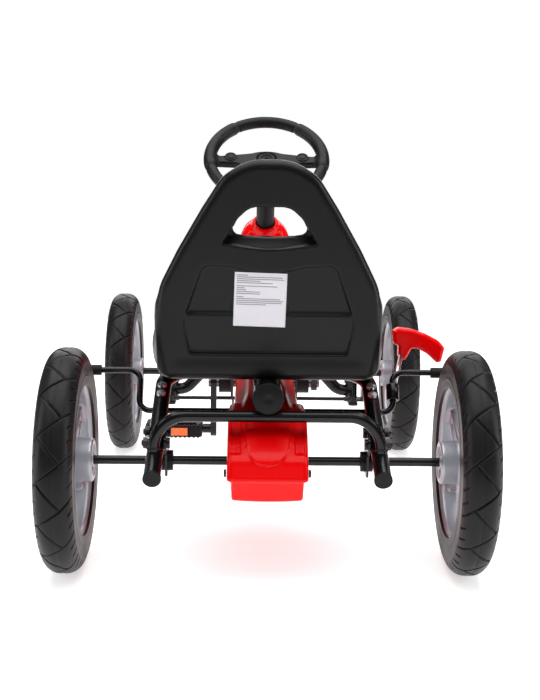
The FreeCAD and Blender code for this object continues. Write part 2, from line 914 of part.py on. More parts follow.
def cover_screws():
    """Screws in the sides of the chain cover."""
    screws = []
    head = 3
    for side in (-1, 1):
        for y, z, half_width in ((-70, 150, "cover_rear_half_width"),
                                 (330, 170, "cover_front_half_width")):
            face = dim(half_width)
            start = face if side > 0 else -face - head
            screws.append(cylinder(5, head, (start, from_rear(y), z), "X"))
    node("cover_screws", group(*screws))


def belt_loop(sketch, offset):
    """A closed loop round both sprockets, that far outside the chain's pitch line."""
    axle = (Vector(0, dim("axle_height").value, 0), sprocket_radius("rear_teeth") + offset)
    crank_centre = Vector(dim("crank_y").value, dim("crank_height").value, 0)
    crank = (crank_centre, sprocket_radius("crank_teeth") + offset)
    run = crank[0] - axle[0]
    lean = math.acos((axle[1].value - crank[1].value) / run.Length)
    heading = math.atan2(run.y, run.x)
    arcs = []
    for (centre, radius), near in ((axle, True), (crank, False)):
        first = heading + lean
        last = heading - lean + (2 * math.pi if near else 0)
        start, end = (first, last) if near else (last, first)
        around = Part.Circle(centre, Vector(0, 0, 1), radius.value)
        arcs.append(sketch.addGeometry(Part.ArcOfCircle(around, start, end)))
    rear, front = (sketch.Geometry[index] for index in arcs)
    upper = sketch.addGeometry(Part.LineSegment(front.EndPoint, rear.StartPoint))
    lower = sketch.addGeometry(Part.LineSegment(rear.EndPoint, front.StartPoint))
    pin_point(sketch, arcs[0], 3, 0, dim("axle_height"))
    pin_point(sketch, arcs[1], 3, dim("crank_y"), dim("crank_height"))
    for index, radius in zip(arcs, (axle[1], crank[1])):
        number = sketch.addConstraint(Sketcher.Constraint("Radius", index, radius.value))
        sketch.setExpression(f"Constraints[{number}]", radius.text)
    joints = ((arcs[1], 2, upper, 1), (upper, 2, arcs[0], 1),
              (arcs[0], 2, lower, 1), (lower, 2, arcs[1], 1))
    for a, a_end, b, b_end in joints:
        sketch.addConstraint(Sketcher.Constraint("Tangent", a, a_end, b, b_end))
    return rear, front


def chain():
    """The roller chain: two side plate loops, with rollers along both straight runs."""
    plates = []
    for side in (-1, 1):
        body = new_body("chain_plate")
        face = sketch_on(body, "YZ_Plane")
        belt_loop(face, 4)
        belt_loop(face, -4)
        pad(body, face, 1.5, backwards=side < 0)
        plates.append(place(body, (2.3 * side, from_rear(0), 0)))
    scratch = sketch_on(new_body("pitch_line"), "YZ_Plane")
    rear, front = belt_loop(scratch, 0)
    pitch = dim("chain_pitch").value
    rollers = []
    for start, end in ((front.EndPoint, rear.StartPoint), (rear.EndPoint, front.StartPoint)):
        run = end - start
        count = int(run.Length / pitch) - 3
        for i in range(count):
            point = start + run * ((i + 2) * pitch / run.Length)
            rollers.append(cylinder(3, 4.6, (-2.3, from_rear(point.x), point.y), "X"))
    node("chain", fuse(*plates, *rollers))


def crank_bracket():
    """The bridge over the beam whose legs carry the crank's bearings."""
    body = new_body("crank_bracket")
    face = sketch_on(body, "XZ_Plane")
    inner = dim("crank_leg_x")
    outer = inner + 4
    top = dim("beam_height") + dim("beam_radius")
    bottom = dim("crank_height") - 24
    outline(face, [(-outer, bottom), (-inner, bottom), (-inner, top), (inner, top),
                   (inner, bottom), (outer, bottom), (outer, top + 4), (-outer, top + 4)])
    pad(body, face, 52, midplane=True)
    hole = sketch_on(body, "YZ_Plane")
    circle(hole, 0, dim("crank_height"), dim("crank_bearing_radius"))
    pocket_through(body, hole)
    place(body, (0, from_rear(dim("crank_y")), 0))
    node("crank_bracket", body)


def crank_bearings():
    """Sleeve bearings of the crank spindle, one in each leg of its bracket."""
    rings = []
    width = 24
    bore = dim("spindle_radius") + dim("running_clearance")
    for side in (-1, 1):
        start_x = dim("crank_leg_x") if side > 0 else -dim("crank_leg_x") - width
        start = (start_x, from_rear(dim("crank_y")), dim("crank_height"))
        rings.append(tube(dim("crank_bearing_radius"), bore, width, start, "X"))
    node("crank_bearings", group(*rings))


def crank():
    """Spindle, chainring, arms and pedal pins. The left arm hangs down at rest."""
    y = from_rear(dim("crank_y"))
    height = dim("crank_height")
    radius = dim("spindle_radius")
    arm_x, thick = dim("crank_arm_x"), dim("crank_arm_thickness")
    end = arm_x + thick + 4
    node("crank_spindle", cylinder(radius, end * 2, (-end, y, height), "X"))
    sprocket("chainring", "crank_teeth", y, height, 20, radius, 16)
    pins = []
    for side, name in ((-1, "left"), (1, "right")):
        reach = dim("crank_length") * side
        body = new_body(f"crank_arm_{name}")
        face = sketch_on(body, "YZ_Plane")
        low, high = (reach, size(0)) if side < 0 else (size(0), reach)
        slot_outline(face, size(0), low, size(0), high, 13)
        circle(face, 0, 0, radius)
        circle(face, 0, reach, dim("pedal_pin_radius"))
        pad(body, face, thick, backwards=side < 0)
        place(body, (arm_x * side, y, height))
        node(f"crank_arm_{name}", body)
        pins.append(pedal_pin(side, y, height + reach))
    node("pedal_pins", group(*pins))


def pedal_pin(side, y, height):
    """The stepped pin that a pedal turns on."""
    arm_x = dim("crank_arm_x")
    length = dim("pedal_inner_x") + dim("pedal_length") - 3 - arm_x
    shoulder_x = arm_x + dim("crank_arm_thickness")
    shoulder = dim("pedal_inner_x") - shoulder_x - 1
    start = arm_x if side > 0 else -arm_x - length
    boss_start = shoulder_x if side > 0 else -shoulder_x - shoulder
    bar = cylinder(dim("pedal_pin_radius"), length, (start, y, height), "X")
    return fuse(bar, cylinder(8, shoulder, (boss_start, y, height), "X"))


def pedals():
    """Open cage pedals with a reflector on their front and rear faces."""
    half_depth = dim("pedal_depth") / 2
    half_thick = dim("pedal_thickness") / 2
    length = dim("pedal_length")
    for side, name in ((-1, "left"), (1, "right")):
        body = new_body(f"pedal_{name}")
        face = sketch_on(body, "XY_Plane")
        outline(face, [(0, -half_depth), (length, -half_depth), (length, half_depth),
                       (0, half_depth)], 6)
        for near, far in ((10, 42), (53, 85)):
            for low, high in ((-23, -9), (9, 23)):
                outline(face, [(near, low), (far, low), (far, high), (near, high)], 3)
        pad(body, face, dim("pedal_thickness"), midplane=True)
        hole = sketch_on(body, "YZ_Plane")
        circle(hole, 0, 0, dim("pedal_pin_radius") + dim("running_clearance"))
        pocket_through(body, hole)
        start = dim("pedal_inner_x") if side > 0 else -dim("pedal_inner_x") - length
        y = from_rear(dim("crank_y"))
        z = dim("crank_height") + dim("crank_length") * side
        node(f"pedal_{name}", place(body, (start, y, z)))
        lenses = []
        for near, far in ((half_depth, half_depth + 2.5), (-half_depth - 2.5, -half_depth)):
            low = (start + 24, y + near, z - half_thick + 5)
            high = (start + 71, y + far, z + half_thick - 5)
            lenses.append(box(low, high))
        node(f"pedal_reflectors_{name}", group(*lenses))


# ---- steering -----------------------------------------------------------------------------


def column_frame():
    """The steering wheel's centre, and the turn that lays Z along the column, upwards."""
    point = (0, from_rear(dim("wheel_y")), dim("wheel_height"))
    return point, Rotation(Vector(1, 0, 0), dim("steering_tilt").value)


def down_column(distance, sideways=0.0):
    """The point that far down the column, and that far forwards square to it."""
    point, turn = column_frame()
    offset = turn.multVec(Vector(0, sideways, -size(distance).value))
    return (0, point[1] + offset.y, point[2] + offset.z)


def column_cylinder(radius, top, length):
    """A cylinder on the column's axis, from top down over a length."""
    _, turn = column_frame()
    return cylinder(radius, length, down_column(size(top) + length), turn)


def head_cylinder():
    """The steering head's outer cylinder, used to pierce the main beam."""
    return column_cylinder(dim("head_radius"), dim("head_top"), dim("head_length"))


def steering_head():
    """The tube through the main beam in which the steering column turns."""
    bore = dim("column_radius") + dim("running_clearance")
    inside = column_cylinder(bore, dim("head_top"), dim("head_length"))
    node("steering_head", cut(head_cylinder(), inside))


def steering_column():
    """The column: a tube, thicker in the plastic sleeve under the steering wheel."""
    body = new_body("steering_column")
    inner = dim("column_radius") - dim("tube_wall")
    outer = dim("column_radius")
    sleeve = dim("column_sleeve_radius")
    foot = -dim("column_length")
    revolve(body, [(inner, foot), (outer, foot), (outer, -190), (sleeve, -190), (sleeve, -22),
                   (outer, -22), (outer, 2), (inner, 2)], role="XZ_Plane", axis="V_Axis")
    point, turn = column_frame()
    node("steering_column", place(body, point, turn))


def steering_arm():
    """The lever at the column's foot, with the pin that moves the tie rod."""
    body = new_body("steering_arm")
    foot = -dim("column_length")
    reach = -dim("steering_arm")
    plate = sketch_on(body, "XY_Plane", foot - 5)
    slot_outline(plate, size(0), reach, size(0), size(0), 11)
    pad(body, plate, 5)
    pin = sketch_on(body, "XY_Plane", foot - 47)
    circle(pin, 0, reach, 3.5)
    pad(body, pin, 43)
    point, turn = column_frame()
    node("steering_arm", place(body, point, turn))


def steering_wheel():
    """Rim, hub and spokes, moulded in one piece."""
    point, turn = column_frame()
    ring = doc.addObject("Part::Torus", "Rim")
    bind(ring, "Radius1", dim("wheel_rim_radius"))
    bind(ring, "Radius2", dim("wheel_grip_radius"))
    place(ring, point, turn)
    body = new_body("wheel_centre")
    bar = sketch_on(body, "XY_Plane", -14)
    reach = dim("wheel_rim_radius") - 2
    outline(bar, [(-reach, -12), (reach, -12), (reach, 12), (-reach, 12)], 5)
    pad(body, bar, 9)
    fork = sketch_on(body, "XY_Plane", -14)
    outline(fork, [(-18, 0), (-46, -reach * 0.86), (-26, -reach * 0.95), (0, -24), (26, -reach * 0.95),
                   (46, -reach * 0.86), (18, 0)])
    pad(body, fork, 7)
    hub = sketch_on(body, "XY_Plane", -21)
    circle(hub, 0, 0, 26)
    pad(body, hub, 21)
    hole = sketch_on(body, "XY_Plane")
    circle(hole, 0, 0, dim("column_radius"))
    pocket_through(body, hole)
    place(body, point, turn)
    node("steering_wheel", fuse(ring, body))
    node("steering_wheel_cap", column_cylinder(20, -7, 5))


def tie_rod():
    """The rod between both knuckles, with an eye at each end and a slotted tab in the middle."""
    x = dim("kingpin_x")
    y = from_front(-dim("steering_arm"))
    z = dim("tie_rod_height")
    pieces = [cylinder(3.5, x * 2, (-x, y, z), "X")]
    holes = []
    for side in (-1, 1):
        pieces.append(cylinder(8, 11, (x * side, y, z - 5.5)))
        holes.append(cylinder(3 + dim("running_clearance"), 11, (x * side, y, z - 5.5)))
    body = new_body("tie_rod_tab")
    point, turn = column_frame()
    local = turn.inverted().multVec(vector((0, y, z)) - vector(point))
    tab = sketch_on(body, "XY_Plane", local.z - 2)
    reach = dim("steering_arm").value
    outline(tab, [(-13, local.y - 1), (13, local.y - 1), (13, 11 - reach), (-13, 11 - reach)], 4)
    slot_outline(tab, size(0), size(-reach), size(0), size(2 - reach), 3.9)
    pad(body, tab, 4)
    place(body, point, turn)
    node("tie_rod", cut(fuse(*pieces, body), *holes))


def front_beam():
    """The front cross tube, with the upright tubes for the kingpins at its ends."""
    x = dim("kingpin_x")
    radius = dim("front_beam_radius")
    z = dim("front_beam_height")
    middle = (dim("kingpin_bottom") + dim("kingpin_top")) / 2
    corners = [(-x, middle), (-148, middle), (-110, z), (110, z), (148, middle), (x, middle)]
    body = bent_tube("front_tube", "XZ_Plane", corners, 30, radius, radius - dim("tube_wall"))
    place(body, (0, from_front(0), 0))
    tall = dim("kingpin_top") - dim("kingpin_bottom")
    outers = []
    inners = []
    for side in (-1, 1):
        foot = (x * side, from_front(0), dim("kingpin_bottom"))
        outers.append(cylinder(dim("kingpin_tube_radius"), tall, foot))
        inners.append(cylinder(dim("kingpin_radius"), tall, foot))
    node("front_beam", cut(fuse(body, *outers), *inners))


def front_struts():
    """Plates that hang the front cross tube from the main beam, saddled on top of it."""
    plates = []
    z = dim("front_beam_height")
    start = (-40, from_front(0), z)
    for side, name in ((-1, "left"), (1, "right")):
        body = new_body(f"strut_{name}")
        face = sketch_on(body, "YZ_Plane")
        outline(face, [(-78, 236, 5), (-78, 258, 5), (-36, 258, 5), (-30, 234, 5), (17, z + 12, 5),
                       (17, z), (-17, z), (-17, z + 28, 5)])
        pad(body, face, 5, backwards=side < 0)
        place(body, (dim("beam_radius") * side, from_front(0), 0))
        plates.append(cut(body, cylinder(dim("front_beam_radius"), 80, start, "X")))
    node("front_struts", group(*plates))


def kingpins():
    """The bolts that the knuckles turn on."""
    bolts = []
    bottom = dim("kingpin_bottom") - 5
    top = dim("kingpin_top") + 5.2
    for side in (-1, 1):
        x = dim("kingpin_x") * side
        shank = cylinder(dim("kingpin_radius"), top - bottom, (x, from_front(0), bottom))
        head = cylinder(8, 5, (x, from_front(0), top))
        nut = cylinder(8, 6, (x, from_front(0), bottom - 6.2))
        neck = cylinder(dim("kingpin_radius"), 1, (x, from_front(0), bottom - 0.6))
        bolts.append(fuse(shank, head, nut, neck))
    node("kingpins", group(*bolts))


def knuckle(side, name):
    """A C-shaped knuckle round its kingpin tube, with its steering arm and rod pin."""
    low = dim("kingpin_bottom")
    high = dim("kingpin_top")
    gap = 0.4
    inner, web, outer = 160, 193, 198
    top = dim("axle_height") + 14
    body = new_body(f"knuckle_{name}")
    face = sketch_on(body, "XZ_Plane")
    corners = [(inner, low - 4.6), (outer, low - 4.6), (outer, top), (web, top),
               (web, high + 4.8), (inner, high + 4.8), (inner, high + gap), (web, high + gap),
               (web, low - gap), (inner, low - gap)]
    outline(face, [(size(x) * side, z) for x, z in corners])
    pad(body, face, 30, midplane=True)
    reach = -dim("steering_arm")
    arm = sketch_on(body, "XY_Plane", low - 4.6)
    x = dim("kingpin_x")
    outline(arm, [((x - 9) * side, 9), ((x - 9) * side, reach - 10, 8),
                  ((x + 9) * side, reach - 10, 8), ((x + 9) * side, 9)])
    pad(body, arm, 4.2)
    holes = sketch_on(body, "XY_Plane")
    circle(holes, x * side, 0, dim("kingpin_radius") + dim("running_clearance"))
    pocket_through(body, holes)
    bore = sketch_on(body, "YZ_Plane")
    circle(bore, 0, dim("axle_height"), dim("stub_radius"))
    pocket_through(body, bore)
    pin = sketch_on(body, "XY_Plane", low - 3)
    circle(pin, x * side, reach, 3)
    pad(body, pin, dim("tie_rod_height") + 9 - low)
    place(body, (0, from_front(0), 0))
    node(f"knuckle_{name}", body)


def stub_axle(side, name):
    """A front wheel's axle: shaft, spacer against the knuckle and a domed nut outside."""
    y = from_front(0)
    z = dim("axle_height")
    start, end = 186, dim("hub_outer_x") + 8

    def along(radius, near, far):
        low = near if side > 0 else -size(far)
        return cylinder(radius, size(far) - near, (low, y, z), "X")

    shaft = along(dim("stub_radius"), start, end)
    spacer = along(dim("stub_radius") + 1.6, 198, dim("hub_inner_x") - 0.3)
    inner_nut = along(9, start, 193)
    outer_nut = along(9, dim("hub_outer_x") + 0.3, end + 2)
    node(f"stub_axle_{name}", fuse(shaft, spacer, inner_nut, outer_nut))


def front_wheels():
    """Both front corners: knuckle, stub axle, moulded wheel and tyre."""
    y = from_front(0)
    bore = dim("stub_radius") + dim("running_clearance")
    for side, name in ((-1, "left"), (1, "right")):
        knuckle(side, name)
        stub_axle(side, name)
        tyre(f"front_tyre_{name}", side, y)
        rim(f"front_rim_{name}", side, y, dim("front_hub_radius"), bore)


# ---- body panels and seat -----------------------------------------------------------------

# Height, rear Y, front Y (ahead of the rear axle) and half width of the nose's sections.
NOSE_SECTIONS = (
    (168, 640, 885, 100),
    (240, 622, 850, 92),
    (300, 580, 785, 78),
    (370, 530, 705, 58),
    (425, 487, 640, 42),
    (458, 510, 592, 26),
)


def nose_loft(body, kind, inset):
    """A loft through the nose's sections, drawn in by a wall thickness."""
    sketches = []
    for height, rear, front, half_width in NOSE_SECTIONS:
        drop = inset if height == NOSE_SECTIONS[-1][0] else 0
        sketch = sketch_on(body, "XY_Plane", height - drop)
        x = half_width - inset
        outline(sketch, [(-x, rear + inset), (x, rear + inset), (x, front - inset),
                         (-x, front - inset)], x * 0.55)
        sketches.append(sketch)
    doc.recompute()
    loft = body.newObject(kind, "Loft")
    loft.Profile = sketches[0]
    loft.Sections = sketches[1:]
    loft.Ruled = True
    doc.recompute()
    return loft


def nose_fairing():
    """The hollow nose, open below, standing astride the beam around the steering column."""
    body = new_body("nose_shell")
    nose_loft(body, "PartDesign::AdditiveLoft", 0)
    nose_loft(body, "PartDesign::SubtractiveLoft", 3)
    place(body, (0, from_rear(0), 0))
    x = dim("beam_radius")
    notch = box((-x, from_rear(560), 150), (x, from_rear(700), dim("beam_height") + x))
    passage = column_cylinder(21, 60, 240)
    node("nose_fairing", cut(body, notch, passage))
    collar = column_cylinder(21, 150, 16)
    bore = column_cylinder(dim("column_sleeve_radius") + 0.5, 150, 16)
    node("nose_collar", cut(collar, bore))


def seat_back():
    """The back: a tapered panel with a hand hole, leaning rearwards."""
    body = new_body("seat_back")
    face = sketch_on(body, "XZ_Plane")
    top = dim("seat_height")
    outline(face, [(-140, 0, 14), (140, 0, 14), (147, 78, 60), (141, 122, 60), (50, top, 50),
                   (-50, top, 50), (-141, 122, 60), (-147, 78, 60)])
    outline(face, [(-48, 184, 10), (48, 184, 10), (26, 226, 22), (-26, 226, 22)])
    pad(body, face, dim("seat_back_thickness"), backwards=True)
    point = (0, from_rear(dim("seat_rear_y")), dim("seat_bottom"))
    return place(body, point, Rotation(Vector(1, 0, 0), dim("seat_lean").value))


def seat_pan():
    """The pan: a flat tray that the back and bolsters rise from."""
    body = new_body("seat_pan")
    face = sketch_on(body, "XY_Plane", dim("pan_bottom"))
    outline(face, [(-126, -22), (126, -22), (150, 120), (128, 285), (-128, 285), (-150, 120)], 24)
    pad(body, face, dim("pan_thickness"))
    return place(body, (0, from_rear(0), 0))


def seat_bolster(side):
    """One side wall of the bucket."""
    body = new_body("seat_bolster")
    face = sketch_on(body, "YZ_Plane")
    low = dim("pan_bottom")
    outline(face, [(-20, low + 1, 6), (242, low + 1, 10), (256, low + 24, 10), (120, low + 58, 60),
                   (20, low + 86, 30), (-38, low + 116, 8)])
    pad(body, face, dim("bolster_thickness"), backwards=side < 0)
    return place(body, (dim("bolster_x") * side, from_rear(0), 0))


SEAT_BOLTS = ((-52, 192), (52, 192), (-52, 276), (52, 276))


def seat():
    """The moulded seat, the sleeve that slides on the beam, and the bolts between them."""
    low = dim("pan_bottom")
    head = low + dim("pan_thickness") - 3.4
    bars = [cylinder(3, 20, (x, from_rear(y), low - 8)) for x, y in SEAT_BOLTS]
    sinks = [cylinder(7.2, 10, (x, from_rear(y), head)) for x, y in SEAT_BOLTS]
    shell = fuse(seat_back(), seat_pan(), seat_bolster(-1), seat_bolster(1))
    node("seat_shell", cut(shell, *bars, *sinks))
    sleeve_start = (0, from_rear(dim("sleeve_rear_y")), dim("beam_height"))
    length = dim("sleeve_length")
    bore = dim("beam_radius") + dim("sleeve_clearance")
    outside = cylinder(dim("sleeve_radius"), length, sleeve_start, "Y")
    hollow = cylinder(bore, length, sleeve_start, "Y")
    plate_y = from_rear(dim("sleeve_rear_y"))
    plate = box((-70, plate_y, low - 3.5), (70, plate_y + length, low))
    boss = cylinder(10, 8, (dim("sleeve_radius") - 2, knob_y(), dim("beam_height")), "X")
    stud_hole = cylinder(4 + dim("running_clearance"), 24, (12, knob_y(), dim("beam_height")), "X")
    node("seat_sleeve", cut(fuse(outside, plate, boss), hollow, stud_hole, *bars))
    bolts = []
    for bar, (x, y) in zip(bars, SEAT_BOLTS):
        cap = cylinder(7, 3, (x, from_rear(y), head))
        nut = cylinder(5.5, 4.5, (x, from_rear(y), low - 8))
        bolts.append(fuse(bar, cap, nut))
    node("seat_bolts", group(*bolts))


def knob_y():
    """Where the seat's clamping knob sits, halfway along its sleeve."""
    return from_rear(dim("sleeve_rear_y") + dim("sleeve_length") / 2)


def seat_knob():
    """The hand screw that clamps the seat's sleeve on the beam."""
    start_x = dim("beam_radius") + 0.4
    grip_x = dim("sleeve_radius") + 6.5
    height = dim("beam_height")
    stud = cylinder(4, grip_x - start_x + 1, (start_x, knob_y(), height), "X")
    grip = cylinder(14, 16, (grip_x, knob_y(), height), "X")
    lobes = []
    for i in range(5):
        angle = 2 * math.pi * i / 5
        y = knob_y() + 12 * math.cos(angle)
        z = height + 12 * math.sin(angle)
        lobes.append(cylinder(4.5, 16, (grip_x, y, z), "X"))
    node("seat_knob", fuse(stud, grip, *lobes))


def build_all():
    """Every sub-part of the kart."""
    fill_sheet()
    main_beam()
    beam_caps()
    rails()
    rail_caps()
    rear_bumper()
    axle_hangers()
    axle_bearings()
    hanger_bolts()
    brake_brackets()
    bracket_bolts()
    chain_covers()
    cover_screws()
    chain()
    crank_bracket()
    crank_bearings()
    steering_head()
    front_beam()
    front_struts()
    kingpins()
    nose_fairing()
    rear_wheels_and_axle()
    crank()
    pedals()
    front_wheels()
    steering_column()
    steering_arm()
    steering_wheel()
    tie_rod()
    seat()
    seat_knob()
    brake_bar()
    brake_sleeves()
    brake_lever()
    brake_handle()
    doc.recompute()


def check_all():
    """Stop if any object failed or any sub-part has no sound shape."""
    for item in doc.Objects:
        if "Invalid" in item.State or "Error" in item.State:
            raise RuntimeError(f"{item.Name} ({item.Label}) failed: {item.State}")
    for name, item in NODES.items():
        if item.Shape.isNull() or not item.Shape.isValid():
            raise RuntimeError(f"{name} has no valid shape")
        if not item.Shape.Solids:
            raise RuntimeError(f"{name} has no solid")


def write_parts():
    """One STEP file for each sub-part."""
    os.makedirs("parts", exist_ok=True)
    for name, item in NODES.items():
        item.Shape.exportStep(os.path.join("parts", f"{name}.step"))


build_all()
check_all()
write_parts()
whole = Part.makeCompound([item.Shape for item in NODES.values()]).BoundBox
print(f"{len(NODES)} sub-parts, {whole.XLength:.1f} x {whole.YLength:.1f} x {whole.ZLength:.1f} mm")
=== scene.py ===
import json
import math

import bpy
import numpy as np
from mathutils import Matrix, Vector


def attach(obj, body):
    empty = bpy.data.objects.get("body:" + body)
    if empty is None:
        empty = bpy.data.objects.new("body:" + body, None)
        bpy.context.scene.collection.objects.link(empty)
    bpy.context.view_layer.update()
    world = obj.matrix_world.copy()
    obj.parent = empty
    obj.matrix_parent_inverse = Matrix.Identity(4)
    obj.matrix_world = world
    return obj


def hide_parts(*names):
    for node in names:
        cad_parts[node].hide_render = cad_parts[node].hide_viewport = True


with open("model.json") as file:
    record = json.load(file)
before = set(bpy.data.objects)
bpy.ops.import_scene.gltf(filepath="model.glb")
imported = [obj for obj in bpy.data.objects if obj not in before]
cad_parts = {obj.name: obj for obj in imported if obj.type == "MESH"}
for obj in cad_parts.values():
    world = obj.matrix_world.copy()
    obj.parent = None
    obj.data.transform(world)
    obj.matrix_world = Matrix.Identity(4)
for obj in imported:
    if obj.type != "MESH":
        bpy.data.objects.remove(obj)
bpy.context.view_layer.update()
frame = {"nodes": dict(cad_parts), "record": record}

# Shapes are worked out in millimetres, in the kart's own frame, and scaled once into metres.
MM = 0.001


# ---- distance fields ----------------------------------------------------------------------


def rounded(corners, steps=8):
    """Points of a closed outline; each corner is (x, y, radius)."""
    points = []
    for i, (x, y, radius) in enumerate(corners):
        here = Vector((x, y))
        back = (Vector(corners[i - 1][:2]) - here).normalized()
        ahead = (Vector(corners[(i + 1) % len(corners)][:2]) - here).normalized()
        half = back.angle(ahead) / 2
        if radius <= 0 or half > 1.55:
            points.append(here)
            continue
        cut = radius / math.tan(half)
        centre = here + (back + ahead).normalized() * (radius / math.sin(half))
        spoke = here + back * cut - centre
        sweep = (here + ahead * cut - centre).to_3d()
        turn = math.atan2(spoke.to_3d().cross(sweep).z, spoke.to_3d().dot(sweep))
        for j in range(steps + 1):
            points.append(centre + Matrix.Rotation(turn * j / steps, 2) @ spoke)
    return np.array([tuple(p) for p in points])


def polygon_distance(x, y, points):
    """Signed distance to a closed polygon, negative inside."""
    nearest = np.full(x.shape, 1e9)
    inside = np.zeros(x.shape, bool)
    for (ax, ay), (bx, by) in zip(points, np.roll(points, -1, axis=0)):
        ex, ey = bx - ax, by - ay
        length = ex * ex + ey * ey
        if length < 1e-12:
            continue
        t = np.clip(((x - ax) * ex + (y - ay) * ey) / length, 0, 1)
        nearest = np.minimum(nearest, np.hypot(x - ax - t * ex, y - ay - t * ey))
        crosses = ((ay > y) != (by > y)) & (x < ex * (y - ay) / (ey if ey else 1e-12) + ax)
        inside ^= crosses
    return np.where(inside, -nearest, nearest)


class Outline:
    """Signed distance to a rounded outline, read from a table of worked-out values."""

    def __init__(self, corners, step=1.0, margin=30.0):
        points = rounded(corners)
        self.step = step
        self.low = points.min(0) - margin
        counts = np.ceil((points.max(0) + margin - self.low) / step).astype(int) + 1
        x = self.low[0] + step * np.arange(counts[0])
        y = self.low[1] + step * np.arange(counts[1])
        self.table = polygon_distance(*np.meshgrid(x, y, indexing="ij"), points)

    def __call__(self, x, y):
        i = np.clip((x - self.low[0]) / self.step, 0, self.table.shape[0] - 1.001)
        j = np.clip((y - self.low[1]) / self.step, 0, self.table.shape[1] - 1.001)
        i0, j0 = i.astype(int), j.astype(int)
        u, v = i - i0, j - j0
        t = self.table
        near = t[i0, j0] * (1 - v) + t[i0, j0 + 1] * v
        far = t[i0 + 1, j0] * (1 - v) + t[i0 + 1, j0 + 1] * v
        return near * (1 - u) + far * u


def both(a, b, radius=0.0):
    """Where two shapes overlap, with their meeting edge rounded."""
    if radius <= 0:
        return np.maximum(a, b)
    outside = np.hypot(np.maximum(a + radius, 0), np.maximum(b + radius, 0))
    return np.minimum(np.maximum(a, b), -radius) + outside


def join(a, b, radius=0.0):
    """Two shapes as one, with a fillet where they meet."""
    return -both(-a, -b, radius)


def carve(a, b, radius=0.0):
    """The first shape with the second cut out of it."""
    return both(a, -b, radius)


def step_up(value, low, high):
    """0 below low, 1 above high, and smooth between them."""
    t = np.clip((value - low) / (high - low), 0, 1)
    return t * t * (3 - 2 * t)


def box_field(x, y, z, centre, half, radius):
    """A box with rounded edges."""
    qx = np.abs(x - centre[0]) - half[0] + radius
    qy = np.abs(y - centre[1]) - half[1] + radius
    qz = np.abs(z - centre[2]) - half[2] + radius
    outside = np.sqrt(np.maximum(qx, 0) ** 2 + np.maximum(qy, 0) ** 2 + np.maximum(qz, 0) ** 2)
    return outside + np.minimum(np.maximum(qx, np.maximum(qy, qz)), 0) - radius


def capsule_field(x, y, z, start, end, radius):
    """A rod with round ends."""
    ax, ay, az = start
    dx, dy, dz = (e - s for s, e in zip(start, end))
    length = dx * dx + dy * dy + dz * dz
    t = np.clip(((x - ax) * dx + (y - ay) * dy + (z - az) * dz) / length, 0, 1)
    return np.sqrt((x - ax - t * dx) ** 2 + (y - ay - t * dy) ** 2 + (z - az - t * dz) ** 2) - radius


# ---- meshes -------------------------------------------------------------------------------


def new_mesh(name, vertices, faces):
    """A smooth-shaded mesh from points in millimetres."""
    mesh = bpy.data.meshes.new(name)
    mesh.from_pydata((np.asarray(vertices, float) * MM).tolist(), [], [tuple(f) for f in faces])
    mesh.validate()
    mesh.polygons.foreach_set("use_smooth", [True] * len(mesh.polygons))
    mesh.update()
    return mesh


def add_piece(name, mesh, body, finish, stands_for=()):
    """An object that rides on a CAD body, in place of the CAD nodes it stands for."""
    piece = bpy.data.objects.new(name, mesh)
    bpy.context.scene.collection.objects.link(piece)
    if not mesh.materials:
        mesh.materials.append(finish)
    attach(piece, body)
    if stands_for:
        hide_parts(*stands_for)
    return piece


def sample_field(field, axes):
    """The field's values on a grid, one slice at a time."""
    y, z = np.meshgrid(axes[1], axes[2], indexing="ij")
    return np.stack([field(np.full(y.shape, x), y, z) for x in axes[0]])


def settle(field, points, rounds=3):
    """Moves points along the field's slope until they lie on its zero surface."""
    e = 0.25
    for _ in range(rounds):
        x, y, z = points.T
        slope = np.stack([
            field(x + e, y, z) - field(x - e, y, z),
            field(x, y + e, z) - field(x, y - e, z),
            field(x, y, z + e) - field(x, y, z - e),
        ], axis=1) / (2 * e)
        square = np.maximum((slope ** 2).sum(1), 0.2)
        points = points - slope * (np.clip(field(x, y, z), -2, 2) / square)[:, None]
    return points


def sculpt(name, field, low, high, step):
    """A quad mesh over a field's zero surface: one vertex in each cell that it crosses."""
    axes = [l + step * np.arange(math.ceil((h - l) / step) + 1) for l, h in zip(low, high)]
    values = sample_field(field, axes)
    inside = values < 0
    cells = tuple(n - 1 for n in values.shape)
    corners = np.zeros(cells, np.int8)
    for i in (0, 1):
        for j in (0, 1):
            for k in (0, 1):
                corners += inside[i:cells[0] + i, j:cells[1] + j, k:cells[2] + k]
    crossed = (corners > 0) & (corners < 8)
    index = np.full(cells, -1)
    index[crossed] = np.arange(crossed.sum())
    total = np.zeros((crossed.sum(), 3))
    count = np.zeros(crossed.sum())
    faces = []
    for axis in range(3):
        first = [slice(None)] * 3
        second = [slice(None)] * 3
        first[axis], second[axis] = slice(0, -1), slice(1, None)
        a, b = values[tuple(first)], values[tuple(second)]
        edges = np.argwhere((a < 0) != (b < 0))
        edges = edges[(edges > 0).all(1) | (edges[:, axis] == 0)]
        u, v = [d for d in range(3) if d != axis]
        edges = edges[(edges[:, u] > 0) & (edges[:, v] > 0)
                      & (edges[:, u] < cells[u]) & (edges[:, v] < cells[v])]
        start, end = a[tuple(edges.T)], b[tuple(edges.T)]
        spot = edges * step + np.array(low, float)
        spot[:, axis] += step * start / (start - end)
        ring = []
        for du, dv in ((0, 0), (-1, 0), (-1, -1), (0, -1)):
            cell = edges.copy()
            cell[:, u] += du
            cell[:, v] += dv
            found = index[tuple(cell.T)]
            ring.append(found)
            np.add.at(total, found, spot)
            np.add.at(count, found, 1)
        quads = np.stack(ring, axis=1)
        flip = (start < 0) == (axis == 1)
        quads[flip] = quads[flip][:, ::-1]
        faces.append(quads)
    points = settle(field, total / count[:, None])
    return new_mesh(name, points, np.concatenate(faces)[:, ::-1])


